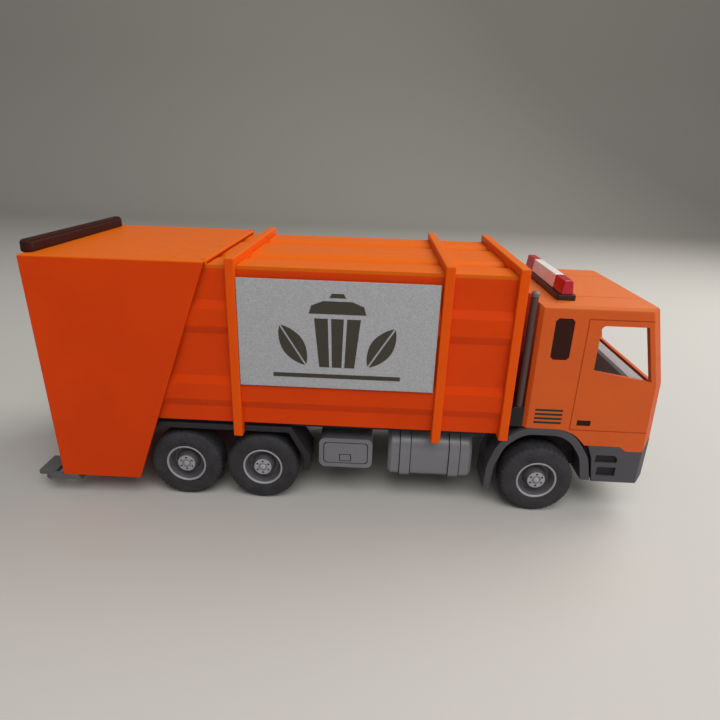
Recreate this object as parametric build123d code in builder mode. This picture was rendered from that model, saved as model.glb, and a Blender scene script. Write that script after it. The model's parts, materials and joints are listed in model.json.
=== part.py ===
from build123d import *
import os
from math import cos, hypot, radians, sin

# Toy refuse collection truck, three axles, about 1:25. All sizes are in millimetres.
# +X points to the front of the truck, +Y to its left side and +Z up. The origin is on the ground,
# in the middle of the truck's length and width. Stations along the truck are counted from the
# front axle, positive towards the front. Pieces on both sides are sketched on the right side (-Y)
# and mirrored.

os.makedirs("parts", exist_ok=True)

# ---------------------------------------------------------------- driving dimensions

# fits
RUN_GAP = 0.1             # radial running clearance of shafts in their bores
PRESS_GAP = 0.02          # radial gap of pieces pushed together
SEAT_GAP = 0.05           # round a panel let into its recess
SWING_GAP = 0.3           # between a hinged piece and what it swings past

# wheels and axles
FRONT_AXLE_X = 110.0      # front axle ahead of the origin
WHEELBASE = 151.8         # front axle to middle axle
BOGIE_SPREAD = 43.1       # middle axle to rear axle
TYRE_R = 20.0
TYRE_W = 14.5
WHEEL_OUT_Y = 51.8        # outer face of the tyres from the centre line
TYRE_SHOULDER_Y = 1.6     # crown starts this far in from either face
TYRE_SHOULDER_R = 2.4     # and the faces end this far below the crown
WHEEL_SIDES = 28          # tyres and rims have this many flats, the lowest one on the ground
SMALL_SIDES = 16          # and so have the hubs and the exhaust
RIM_BACK_IN = 0.9         # rim's inner edge in from the tyre's
RIM_R = 11.5              # rim seat in the tyre
RIM_LIP = 1.2             # radial width of the rim lip
RIM_IN = 0.5              # rim lip in from the tyre's widest point
RIM_WEB = 1.6             # thickness of the dished wheel disc
DISH_DEPTH = 5.0          # rim lip to the bottom of the dish
DISH_FLANK = 2.0          # slope of the rim's inner flank
HUB_R = 5.5               # raised hub disc
HUB_FLANK = 1.5           # slope of the hub's flank
HUB_IN = 0.5              # hub disc in from the rim lip
HUB_CAP_R = 1.9
HUB_CAP_H = 0.5
AXLE_R = 1.5
AXLE_SOCKET = 3.0         # rim material outside the axle's end

# chassis
RAIL_IN_Y = 15.0
RAIL_W = 5.0
RAIL_H = 13.0
CROSS_L = 6.0
CROSS_H = 8.0
CROSS_STATIONS = (45.4, -34.0, -81.8, -117.8)
BRACKET_L = 13.0          # axle bracket along the truck
BRACKET_FOOT = 3.4        # bracket material below the axle centre
TAIL_OVERHANG = 14.0      # rails behind the rear axle

# load body
BODY_FRONT = -20.2        # front face
BODY_Z = 48.7             # underside, top of the rails
BODY_H = 84.5             # underside to roof bands
BODY_HALF_W = 52.4        # flat side wall
BODY_WALL = 1.8
RIDGE_OUT = 1.6           # side ridges stand out by this much
RIDGE_Z = (17.5, 58.2)    # middle of the lower and the upper ridge above the underside
RIDGE_CREST = 9.0         # flat crest of a ridge
RIDGE_FLANK = 4.3         # sloping flank above and below a crest
ROOF_GROOVE_Y = (17.0, 33.5)  # inner and outer edge of the lengthwise roof grooves
ROOF_GROOVE_D = 1.5
ROOF_GROOVE_FLANK = 3.6
TAIL_INSERT = 12.0        # load body running back inside the hopper

# ribs round the load body
RIB_L = 4.8
RIB_PITCH = (35.2, 105.5) # front to middle rib, middle to rear rib, front faces
RIB_PROUD = 1.9           # rib beyond the side ridges
RIB_TOP_RISE = 4.2        # rib above the roof bands
RIB_FOOT_Z = (46.0, 42.7, 41.7)   # lower ends: front, middle, rear
RIB_FOOT_IN = 7.4         # foot turned in under the load body

# sign boards
BOARD_T = 1.2
BOARD_H = 56.2
BOARD_Z = 23.1            # lower edge above the load body's underside
BOARD_GAP = 0.15          # to the rear rib
BOARD_FRONT_GAP = 1.2     # to the middle rib

# hopper (tailgate)
HOPPER_RISE = 2.1         # top plate above the roof bands
HOPPER_BOTTOM_Z = 12.5
HOPPER_SIDE_T = 1.7
HOPPER_TOP_T = 2.0
HOPPER_FRONT_TOP = -175.4
HOPPER_FRONT_BOTTOM = -219.9
HOPPER_REAR_TOP = -266.5
HOPPER_REAR_BOTTOM = -263.6
REAR_PANEL_H = 36.0       # closed panel above the loading mouth
REAR_PANEL_T = 2.0
HINGE_R = 0.6             # hinge rod
HINGE_END = 0.8           # rod's ends in from the hopper's outer faces
HINGE_EAR_W = 2.0
HINGE_GAP = 0.25          # beside the hinge ears

# bucket inside the hopper
BUCKET_T = 1.8
BUCKET_SILL_Z = 36.0
BUCKET_BEND_R = 8.0
BUCKET_FRONT_Z = 44.0
BUCKET_RAMP_L = 12.0      # sloping front part, along the truck
BUCKET_IN = 1.2           # bucket in from the hopper's rear edge
BUCKET_TAIL_GAP = 4.0     # bucket behind the load body's tail

# bin stop bar on the hopper
BAR_D = 6.3
BAR_L = 6.6
BAR_IN_Y = 5.2            # bar's ends in from the hopper's sides
BAR_OVERHANG = 1.8        # bar behind the hopper's top edge
BAR_END_BEVEL = 1.8
BAR_TOP_BEVEL = 1.5

# loading sill and bin lift
SILL_T = 3.4
SILL_FRONT = -253.6
SILL_REAR = -263.6
SILL_NOSE = 1.6           # slanted front end of the sill plate
LIFT_X = -271.6           # lift shaft
LIFT_Z = 10.4
LIFT_R = 1.1
LIFT_HUB_R = 1.75
LIFT_PAD_REAR = -280.0
LIFT_PAD_T = 2.8
LIFT_PAD_W = 15.6
LIFT_END_IN = 0.4         # shaft's ends in from the hopper's sides
KNUCKLE_W = 3.6           # arms of the sill that carry the lift's shaft
KNUCKLE_H = 2.4

# cab
CAB_REAR = -10.8
CAB_HALF_W = 47.5
CAB_FRONT = 59.8
CAB_TOP_Z = 118.6
CAB_BOTTOM_Z = 50.3
CAB_WALL = 2.0
WIND_TOP = 49.4           # top of the raked windscreen face
WIND_SILL = 58.7          # its foot
WIND_SILL_Z = 78.2
CAB_CORNER = 4.6          # bevel up the front corners
REAR_CORNER = 1.9         # bevel up the rear corners
ROOF_BEVEL = 1.4
SKIRT_Z = 41.2            # lower edge of the cab side ahead of the wheel arch
CHIN_Z = 38.6
CHIN_REAR = 46.4
CHIN_STEP = 3.7           # length of the step from the skirt down to the chin
CHIN_FRONT = 55.0
CHIN_TOP_Z = 45.3
ARCH_FLAT_X = 9.6         # flat top of the wheel arch reaches this far ahead of the axle
ARCH_BEND = (17.8, 47.4)  # bend of the cab's lower edge above the arch: station, height
ARCH_BEND_R = 16.0
ARCH_CORNER_X = 23.8
DOOR_REAR = 14.1
DOOR_TOP_Z = 112.1
DOOR_BOTTOM_Z = 50.3
GROOVE_W = 0.55
GROOVE_D = 0.5
WINDOW_REAR = 20.8
WINDOW_TOP_Z = 109.0
WINDOW_TOP_FRONT = 44.2
WINDOW_SILL_FRONT = (51.3, 79.7)  # station, height
WINDOW_SILL_REAR_Z = 84.6
WINDOW_R = 2.4            # rounding of the upper rear corner
SCREEN_SIDE = 8.0         # windscreen opening in from the cab's sides
SCREEN_Z = (75.6, 112.5)
SCREEN_R = 3.0
QUARTER_X = (-2.4, 7.2)
QUARTER_Z = (90.0, 112.1)
QUARTER_BEVEL = 1.5       # corners
RECESS_D = 0.8            # quarter panels and handles are let in by this much
QUARTER_IN = 0.15         # their faces inside the cab's side
HANDLE_IN = 0.4
LOUVRE_X = (-5.5, 9.1)
LOUVRE_Z = 54.0           # lowest louvre
LOUVRE_PITCH = 2.43
LOUVRE_H = 1.15
LOUVRES = 4
HANDLE_X = (17.4, 24.7)
HANDLE_Z = (52.9, 56.2)
ROOF_LINE_Y = 26.5
ROOF_LINE_X = (14.0, 46.0)
GRILLE_SIDE = 17.5        # grille in from the cab's sides
GRILLE_Z = (50.5, 72.5)
GRILLE_D = 1.0
GRILLE_FRAME = 3.0
GRILLE_SLOT_H = 1.8
GRILLE_SLOTS = 5

# cab interior moulding
TUB_T = 1.8
SEAT_BACK_Z = 97.0
SEAT_BACK_X = -2.0
SEAT_BACK_RAKE = 4.0
SEAT_Z = 68.0
SEAT_FRONT = 19.0
DASH_REAR = 48.2
DASH_Z = 74.0
DASH_BEVEL = 0.8
DASH_FRONT = 54.2
DASH_FOOT_Z = 50.6

# front wheel arches and bumper
ARCH_T = 4.0
ARCH_DEPTH = 22.0
ARCH_INNER = ((-24.3, 11.3), (-23.2, 26.0), (-18.5, 38.5), (-9.0, 46.3), (9.6, 46.3), (16.5, 42.5),
              (22.6, 33.7), (25.2, 19.6))   # inner edge, station and height, rear foot to front foot
ARCH_OUTER = ((-27.8, 11.3), (-27.2, 26.0), (-22.5, 40.5), (-10.2, 50.3), (9.6, 50.3), (18.9, 46.1),
              (27.3, 33.7), (30.2, 19.6))
ARCH_R = 18.0             # bends of the arch's outer edge
LINER_T = 1.8             # wall closing the arch towards the chassis
ARCH_STAY_L = 14.0
ARCH_STAY_H = 2.6
BUMPER_BOTTOM_Z = 18.9
BUMPER_REAR = ((25.8, 41.2), (28.9, 33.7), (31.4, 18.9))   # rear edge beside the arch
BUMPER_FRONT = 60.0
BUMPER_WALL = 2.6
BUMPER_BACK_T = 1.8       # upright wall beside the arch
BUMPER_BEVEL = 3.2        # lower front edge
RECESS_UPPER = ((31.2, 35.6), (41.0, 35.6), (43.1, 33.8), (43.1, 30.9), (31.2, 30.9))
RECESS_LOWER = ((33.4, 28.2), (43.3, 28.2), (43.3, 22.7), (33.1, 22.7), (33.1, 26.8))
BUMPER_RECESS_D = 1.3
LAMP_Y = 34.0
LAMP_W = 15.0
LAMP_Z = (26.0, 35.0)
LAMP_BEVEL = 1.2
LAMP_D = 1.4
LAMP_IN = 0.2             # lamp's face inside the bumper's front

# light bar on the cab roof
LIGHT_X = (-0.4, 9.3)
LIGHT_BASE_H = 2.9
LIGHT_BASE_IN = 10.2      # base's ends in from the cab's sides
LIGHT_BASE_BEVEL = 0.7    # corners
LENS_H = 7.4
LENS_INSET = 1.6          # lens in from the base, front and rear
LENS_END_IN = 0.4         # and at its outer ends
LENS_TAPER = 0.9          # lens narrower at the top, front and rear
LENS_RED_IN = 21.5        # red ends start here

# engine cover and exhaust stack behind the cab
COVER_X = (-18.6, -11.1)
COVER_TOP_Z = 62.0
COVER_SIDE = 0.7          # cover in from the cab's sides
COVER_BEVEL = (2.0, 3.0)
STACK_X = -13.7
STACK_SIDE = 2.9          # stack's axis in from the cab's side
STACK_R = 1.9
STACK_TOP_Z = 121.8
STACK_CAP_R = 2.1
STACK_CAP_H = 3.0
STACK_CAP_BEVEL = 1.0

# side boxes and tanks, their outer faces in line with the wheel arches
SIDE_IN = 0.5             # faces in from the cab's sides
BOX_X = (-120.7, -91.0)
BOX_Z = (20.0, 38.0)
BOX_R = 3.6
BOX_DOOR_IN = 2.4         # groove round the door, in from the box's edge
BOX_DOOR_BEVEL = 1.3      # corners
BOX_LATCH_X = (-109.4, -102.8)
BOX_LATCH_Z = (23.8, 28.4)
BOX_GROOVE_W = 0.5
BOX_GROOVE_D = 0.4
TANK_X = (-82.2, -35.6)
TANK_Z = (16.9, 43.4)
TANK_CREASE_Z = 29.4      # flat face below, curved face above
TANK_FLATS = 6            # flats of the curved face
TANK_LOW_BEVEL = 2.0
TANK_END_BEVEL = 1.8
STRAP_X = (-75.7, -48.5)
STRAP_L = 6.0
STRAP_PROUD = 0.6
STRAP_END_GAP = 0.3       # strap from the chassis rail

# rear mudguards
GUARD_Z = 42.9
GUARD_T = 3.2
GUARD_SIDE = 0.4          # outer face in from the load body's side
GUARD_W = 20.0
GUARD_NOSE_TOP = 16.3     # ahead of the middle axle: upper outer bend
GUARD_NOSE_LOW = 26.6     # lower outer bend
GUARD_NOSE_Z = 29.3
GUARD_NOSE_T = 3.4        # thickness of the nose along the truck
GUARD_NOSE_BEND = 1.4     # the inner bends are this much lower
GUARD_FOOT_Z = 20.0
GUARD_TAIL = 19.0         # behind the rear axle
GUARD_NOTCH_GAP = 0.3     # round the rear rib's foot
GUARD_STAY_L = 8.0

# ---------------------------------------------------------------- derived stations

mid_axle_x = FRONT_AXLE_X - WHEELBASE
rear_axle_x = mid_axle_x - BOGIE_SPREAD
axles = (("front", FRONT_AXLE_X), ("middle", mid_axle_x), ("rear", rear_axle_x))

rail_out_y = RAIL_IN_Y + RAIL_W
rail_mid_z = BODY_Z - RAIL_H / 2
roof_z = BODY_Z + BODY_H
ridge_y = BODY_HALF_W + RIDGE_OUT
rib_half_w = ridge_y + RIB_PROUD
hopper_in_y = ridge_y + SWING_GAP
hopper_half_w = hopper_in_y + HOPPER_SIDE_T
hopper_top_z = roof_z + HOPPER_RISE
side_face_y = CAB_HALF_W - SIDE_IN


def st(station):
    """Frame position of a station counted from the front axle."""
    return FRONT_AXLE_X + station


def at(points):
    """Frame positions of a list of station and height pairs."""
    return [(st(station), z) for station, z in points]


def middle(pair):
    """Middle of a pair of limits."""
    return (pair[0] + pair[1]) / 2


def span(pair):
    """Distance between a pair of limits."""
    return pair[1] - pair[0]


def hopper_front_at(z):
    """Frame position of the hopper's slanted front edge at height z."""
    slope = (HOPPER_FRONT_TOP - HOPPER_FRONT_BOTTOM) / (hopper_top_z - HOPPER_BOTTOM_Z)
    return st(HOPPER_FRONT_BOTTOM) + (z - HOPPER_BOTTOM_Z) * slope


def side_plane(y):
    """Sketch plane in X and Z on the truck's right side; extruding goes outwards, to -Y."""
    return Plane.XZ.offset(y)


def finish(part, name):
    """Label a finished piece and write its STEP file."""
    part.label = name
    export_step(part, f"parts/{name}.step")


hinge_half = HOPPER_RISE / 2
hinge_x = st(HOPPER_FRONT_TOP) - hinge_half
hinge_z = roof_z + hinge_half
hinge_sweep_r = hypot(hinge_half, hinge_half) + SWING_GAP
rib_front_x = [st(BODY_FRONT)]
for pitch in RIB_PITCH:
    rib_front_x.append(rib_front_x[-1] - pitch)

# ---------------------------------------------------------------- wheels and axles


def wheel_block(x, near_y, far_y, radius, sides=WHEEL_SIDES):
    """Many-sided block on the wheel axis at x."""
    with BuildPart() as block:
        with BuildSketch(side_plane(near_y)):
            with Locations((x, TYRE_R)):
                RegularPolygon(radius, sides, major_radius=False, rotation=180 / sides)
        extrude(amount=far_y - near_y)
    return block.part


def bevel_end(face, face_width, side_width):
    """Bevel a block's end: this much off the end face's edge and this much off the sides."""
    chamfer(face.edges(), face_width, side_width, reference=face)


def make_tyres(x):
    """Pair of tyres on the axle at x."""
    wide_y = WHEEL_OUT_Y - TYRE_W
    with BuildPart() as tyres:
        add(wheel_block(x, wide_y, WHEEL_OUT_Y, TYRE_R))
        for end in (0, -1):
            bevel_end(tyres.faces().sort_by(Axis.Y)[end], TYRE_SHOULDER_R, TYRE_SHOULDER_Y)
        add(wheel_block(x, wide_y, WHEEL_OUT_Y, RIM_R), mode=Mode.SUBTRACT)
        mirror(about=Plane.XZ)
    return tyres.part


def make_rims(x):
    """Pair of dished wheel discs with raised hubs on the axle at x."""
    lip_y = WHEEL_OUT_Y - RIM_IN
    dish_y = lip_y - DISH_DEPTH
    web_y = dish_y - RIM_WEB
    back_y = WHEEL_OUT_Y - TYRE_W + RIM_BACK_IN
    hub_y = lip_y - HUB_IN
    seat_r = RIM_R - PRESS_GAP
    inner_r = seat_r - RIM_LIP
    with BuildPart() as dish:
        add(wheel_block(x, dish_y, WHEEL_OUT_Y, inner_r))
        bevel_end(dish.faces().sort_by(Axis.Y)[-1], DISH_FLANK, DISH_DEPTH)
    with BuildPart() as hub:
        add(wheel_block(x, web_y, hub_y, HUB_R + HUB_FLANK, SMALL_SIDES))
        bevel_end(hub.faces().sort_by(Axis.Y)[0], HUB_FLANK, hub_y - dish_y)
    with BuildPart() as rims:
        add(wheel_block(x, back_y, lip_y, seat_r))
        add(dish.part, mode=Mode.SUBTRACT)
        add(wheel_block(x, back_y, web_y, inner_r), mode=Mode.SUBTRACT)
        add(hub.part)
        add(wheel_block(x, hub_y, hub_y + HUB_CAP_H, HUB_CAP_R, SMALL_SIDES))
        # blind bore for the axle
        with BuildSketch(side_plane(web_y)):
            with Locations((x, TYRE_R)):
                Circle(AXLE_R + PRESS_GAP)
        extrude(amount=hub_y - AXLE_SOCKET - web_y, mode=Mode.SUBTRACT)
        mirror(about=Plane.XZ)
    return rims.part


def make_axle(x):
    """Steel axle pushed into both hubs."""
    with BuildPart() as axle:
        with BuildSketch(side_plane(0)):
            with Locations((x, TYRE_R)):
                Circle(AXLE_R)
        extrude(amount=WHEEL_OUT_Y - RIM_IN - HUB_IN - AXLE_SOCKET - PRESS_GAP, both=True)
    return axle.part


for name, axle_x in axles:
    finish(make_tyres(axle_x), f"{name}_tyres")
    finish(make_rims(axle_x), f"{name}_rims")
    finish(make_axle(axle_x), f"{name}_axle")

# ---------------------------------------------------------------- chassis frame

rail_front_x = st(BUMPER_FRONT) - BUMPER_WALL
rail_rear_x = rear_axle_x - TAIL_OVERHANG
bracket_h = BODY_Z - RAIL_H - TYRE_R + BRACKET_FOOT

with BuildPart() as chassis_frame:
    with BuildSketch(side_plane(RAIL_IN_Y)):
        with Locations((middle((rail_rear_x, rail_front_x)), rail_mid_z)):
            Rectangle(rail_front_x - rail_rear_x, RAIL_H)
        with Locations(*[(x, TYRE_R - BRACKET_FOOT + bracket_h / 2) for name, x in axles]):
            Rectangle(BRACKET_L, bracket_h)
        with Locations(*[(x, TYRE_R) for name, x in axles]):
            Circle(AXLE_R + RUN_GAP, mode=Mode.SUBTRACT)
    extrude(amount=RAIL_W)
    mirror(about=Plane.XZ)
    with Locations(*[(st(station), 0, rail_mid_z) for station in CROSS_STATIONS],
                   (rail_rear_x + CROSS_L / 2, 0, rail_mid_z)):
        Box(CROSS_L, 2 * RAIL_IN_Y, CROSS_H)
finish(chassis_frame.part, "chassis_frame")

# ---------------------------------------------------------------- load body


def body_outline(inset=0.0):
    """Cross-section of the load body, inset from its outer face, as a closed list of points."""
    half_w = BODY_HALF_W - inset
    right = [(half_w, BODY_Z + inset)]
    for height in RIDGE_Z:
        low = BODY_Z + height - RIDGE_CREST / 2
        high = BODY_Z + height + RIDGE_CREST / 2
        right += [(half_w, low - RIDGE_FLANK), (half_w + RIDGE_OUT, low),
                  (half_w + RIDGE_OUT, high), (half_w, high + RIDGE_FLANK)]
    top = roof_z - inset
    inner_y, outer_y = ROOF_GROOVE_Y
    right += [(half_w, top), (outer_y, top), (outer_y - ROOF_GROOVE_FLANK, top - ROOF_GROOVE_D),
              (inner_y + ROOF_GROOVE_FLANK, top - ROOF_GROOVE_D), (inner_y, top)]
    return right + [(-y, z) for y, z in reversed(right)]


body_front_x = st(BODY_FRONT)
body_rear_x = hopper_front_at(BODY_Z) - TAIL_INSERT
tail_top_x = hopper_front_at(roof_z) - TAIL_INSERT
body_len = body_front_x - body_rear_x

with BuildPart() as load_body:
    with BuildSketch(Plane.YZ.offset(body_rear_x)):
        with BuildLine():
            Polyline(*body_outline(), close=True)
        make_face()
    extrude(amount=body_len)
    with BuildSketch(Plane.YZ.offset(body_rear_x)):
        with BuildLine():
            Polyline(*body_outline(BODY_WALL), close=True)
        make_face()
    extrude(amount=body_len - BODY_WALL, mode=Mode.SUBTRACT)
    # the open tail is cut parallel to the hopper's slanted front edge
    with BuildSketch(side_plane(0)):
        with BuildLine():
            Polyline((body_rear_x, BODY_Z), (tail_top_x, roof_z), (body_rear_x, roof_z), close=True)
        make_face()
    extrude(amount=ridge_y, both=True, mode=Mode.SUBTRACT)
    # rebate in the roof where the hopper's front edge swings
    with BuildSketch(side_plane(0)):
        with Locations((hinge_x, hinge_z)):
            Circle(hinge_sweep_r)
    extrude(amount=ridge_y, both=True, mode=Mode.SUBTRACT)
    # hinge ears standing up beside the knuckle
    with BuildSketch(side_plane(BODY_HALF_W - HINGE_EAR_W)):
        with Locations((hinge_x, hinge_z)):
            Circle(hinge_half)
        with Locations((hinge_x, hinge_z - (hinge_sweep_r + BODY_WALL) / 2)):
            Rectangle(2 * hinge_half, hinge_sweep_r + BODY_WALL)
        with Locations((hinge_x, hinge_z)):
            Circle(HINGE_R + PRESS_GAP, mode=Mode.SUBTRACT)
    extrude(amount=HINGE_EAR_W)
    mirror(about=Plane.XZ)
finish(load_body.part, "load_body")

for name, front_x, foot_z in zip(("front", "middle", "rear"), rib_front_x, RIB_FOOT_Z):
    with BuildPart() as rib:
        with BuildSketch(Plane.YZ.offset(front_x - RIB_L)):
            with Locations((0, (foot_z + roof_z + RIB_TOP_RISE) / 2)):
                Rectangle(2 * rib_half_w, roof_z + RIB_TOP_RISE - foot_z)
            with BuildLine():
                Polyline(*body_outline(), close=True)
            make_face(mode=Mode.SUBTRACT)
            with Locations((0, (foot_z + BODY_Z) / 2)):
                Rectangle(2 * (BODY_HALF_W - RIB_FOOT_IN), BODY_Z - foot_z, mode=Mode.SUBTRACT)
        extrude(amount=RIB_L)
    finish(rib.part, f"{name}_rib")

board_front_x = rib_front_x[1] - RIB_L - BOARD_FRONT_GAP
board_rear_x = rib_front_x[2] + BOARD_GAP
with BuildPart() as sign_boards:
    with BuildSketch(side_plane(ridge_y)):
        with Locations(((board_front_x + board_rear_x) / 2, BODY_Z + BOARD_Z + BOARD_H / 2)):
            Rectangle(board_front_x - board_rear_x, BOARD_H)
    extrude(amount=BOARD_T)
    mirror(about=Plane.XZ)
finish(sign_boards.part, "sign_boards")

# ---------------------------------------------------------------- hopper

rear_top_x = st(HOPPER_REAR_TOP)
rear_bottom_x = st(HOPPER_REAR_BOTTOM)
rear_slope = (rear_bottom_x - rear_top_x) / (hopper_top_z - HOPPER_BOTTOM_Z)
panel_low_x = rear_top_x + rear_slope * REAR_PANEL_H
panel_low_z = hopper_top_z - REAR_PANEL_H

with BuildPart() as hopper_shell:
    # side plates
    with BuildSketch(side_plane(hopper_in_y)):
        with BuildLine():
            Polyline((st(HOPPER_FRONT_TOP), hopper_top_z), (rear_top_x, hopper_top_z),
                     (rear_bottom_x, HOPPER_BOTTOM_Z), (st(HOPPER_FRONT_BOTTOM), HOPPER_BOTTOM_Z), close=True)
        make_face()
    extrude(amount=HOPPER_SIDE_T)
    mirror(about=Plane.XZ)
    # top plate, its front edge is the hinge knuckle, and the closed panel above the loading mouth
    with BuildSketch(side_plane(0)):
        with BuildLine():
            Polyline((st(HOPPER_FRONT_TOP), hopper_top_z), (rear_top_x, hopper_top_z),
                     (panel_low_x, panel_low_z), (panel_low_x + REAR_PANEL_T, panel_low_z),
                     (rear_top_x + REAR_PANEL_T, hopper_top_z - HOPPER_TOP_T),
                     (st(HOPPER_FRONT_TOP), hopper_top_z - HOPPER_TOP_T), close=True)
        make_face()
    extrude(amount=hopper_in_y, both=True)
    # gaps for the hinge ears, and the rod's bore
    with Locations(*[(hinge_x, side * (BODY_HALF_W - HINGE_EAR_W / 2), hinge_z) for side in (-1, 1)]):
        Box(2 * (hinge_half + HINGE_GAP), HINGE_EAR_W + 2 * HINGE_GAP, 2 * (hinge_half + HINGE_GAP),
            mode=Mode.SUBTRACT)
    with BuildSketch(side_plane(0)):
        with Locations((hinge_x, hinge_z)):
            Circle(HINGE_R + RUN_GAP)
    extrude(amount=hopper_half_w - HINGE_END, both=True, mode=Mode.SUBTRACT)
finish(hopper_shell.part, "hopper_shell")

with BuildPart() as hinge_rod:
    with BuildSketch(side_plane(0)):
        with Locations((hinge_x, hinge_z)):
            Circle(HINGE_R)
    extrude(amount=hopper_half_w - HINGE_END - PRESS_GAP, both=True)
finish(hinge_rod.part, "hinge_rod")

# bucket between the side plates, its wall follows one bent line
bucket_low_z = HOPPER_BOTTOM_Z + BUCKET_T / 2
bucket_rear_x = rear_bottom_x + BUCKET_IN
bucket_front_x = hopper_front_at(BUCKET_FRONT_Z) - TAIL_INSERT - BUCKET_TAIL_GAP
with BuildPart() as hopper_bucket:
    with BuildSketch(side_plane(0)):
        with BuildLine():
            FilletPolyline((bucket_rear_x, BUCKET_SILL_Z), (bucket_rear_x, bucket_low_z),
                           (bucket_front_x - BUCKET_RAMP_L, bucket_low_z), (bucket_front_x, BUCKET_FRONT_Z),
                           radius=BUCKET_BEND_R)
        trace(line_width=BUCKET_T)
    extrude(amount=hopper_in_y, both=True)
finish(hopper_bucket.part, "hopper_bucket")

with BuildPart() as bin_stop_bar:
    with BuildSketch(Plane.XY.offset(hopper_top_z)) as bar_foot:
        with Locations((rear_top_x - BAR_OVERHANG + BAR_L / 2, 0)):
            Rectangle(BAR_L, 2 * (hopper_half_w - BAR_IN_Y))
        chamfer(bar_foot.vertices(), BAR_END_BEVEL)
    extrude(amount=BAR_D)
    chamfer(bin_stop_bar.faces().sort_by(Axis.Z)[-1].edges(), BAR_TOP_BEVEL)
finish(bin_stop_bar.part, "bin_stop_bar")

# ---------------------------------------------------------------- loading sill and bin lift

sill_low_z = HOPPER_BOTTOM_Z - SILL_T
lift_x = st(LIFT_X)
pad_out_y = hopper_half_w - KNUCKLE_W - HINGE_GAP
pad_in_y = pad_out_y - LIFT_PAD_W
pad_front_x = lift_x + LIFT_PAD_T / 2

with BuildPart() as loading_sill:
    with BuildSketch(side_plane(0)):
        with BuildLine():
            Polyline((st(SILL_FRONT), sill_low_z), (st(SILL_FRONT) - SILL_NOSE, HOPPER_BOTTOM_Z),
                     (st(SILL_REAR), HOPPER_BOTTOM_Z), (st(SILL_REAR), sill_low_z), close=True)
        make_face()
    extrude(amount=hopper_half_w, both=True)
    # arms that carry the lift's shaft
    with BuildSketch(side_plane(hopper_half_w - KNUCKLE_W)):
        with Locations((lift_x, LIFT_Z)):
            Circle(LIFT_HUB_R)
        with Locations(((lift_x + st(SILL_REAR)) / 2, LIFT_Z)):
            Rectangle(st(SILL_REAR) - lift_x, KNUCKLE_H)
        with Locations((lift_x, LIFT_Z)):
            Circle(LIFT_R + RUN_GAP, mode=Mode.SUBTRACT)
    extrude(amount=KNUCKLE_W)
    mirror(about=Plane.XZ)
finish(loading_sill.part, "loading_sill")

with BuildPart() as lift_forks:
    with BuildSketch(side_plane(0)):
        with Locations((lift_x, LIFT_Z)):
            Circle(LIFT_R)
    extrude(amount=hopper_half_w - LIFT_END_IN, both=True)
    with BuildSketch(side_plane(pad_in_y)):
        with Locations(((pad_front_x + st(LIFT_PAD_REAR)) / 2, LIFT_Z)):
            Rectangle(pad_front_x - st(LIFT_PAD_REAR), LIFT_PAD_T)
    extrude(amount=LIFT_PAD_W)
    mirror(about=Plane.XZ)
finish(lift_forks.part, "lift_forks")

# ---------------------------------------------------------------- cab

cab_front_x = st(CAB_FRONT)
cab_profile = [(st(CAB_REAR), CAB_BOTTOM_Z), (st(CAB_REAR), CAB_TOP_Z),
               (st(WIND_TOP) - ROOF_BEVEL, CAB_TOP_Z), (st(WIND_TOP), CAB_TOP_Z - ROOF_BEVEL),
               (st(WIND_SILL), WIND_SILL_Z), (cab_front_x, CHIN_TOP_Z), (st(CHIN_FRONT), CHIN_Z),
               (st(CHIN_REAR), CHIN_Z), (st(CHIN_REAR) - CHIN_STEP, SKIRT_Z), (st(ARCH_CORNER_X), SKIRT_Z),
               *at([ARCH_BEND]), (st(ARCH_FLAT_X), CAB_BOTTOM_Z)]


def cab_hollow(wall):
    """Side outline of the cab's hollow, open below, with this wall at its front."""
    return [(st(CAB_REAR) + CAB_WALL, CHIN_Z), (st(CAB_REAR) + CAB_WALL, CAB_TOP_Z - CAB_WALL),
            (st(WIND_TOP) - wall, CAB_TOP_Z - CAB_WALL), (st(WIND_SILL) - wall, WIND_SILL_Z),
            (cab_front_x - wall, CHIN_TOP_Z), (cab_front_x - wall, CHIN_Z)]


def quarter_face(gap):
    """Outline of the panel behind the side window, this much smaller all round than its recess."""
    with BuildSketch() as face:
        with Locations((st(middle(QUARTER_X)), middle(QUARTER_Z))):
            Rectangle(span(QUARTER_X) - 2 * gap, span(QUARTER_Z) - 2 * gap)
        chamfer(face.vertices(), QUARTER_BEVEL)
    return face.sketch


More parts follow.
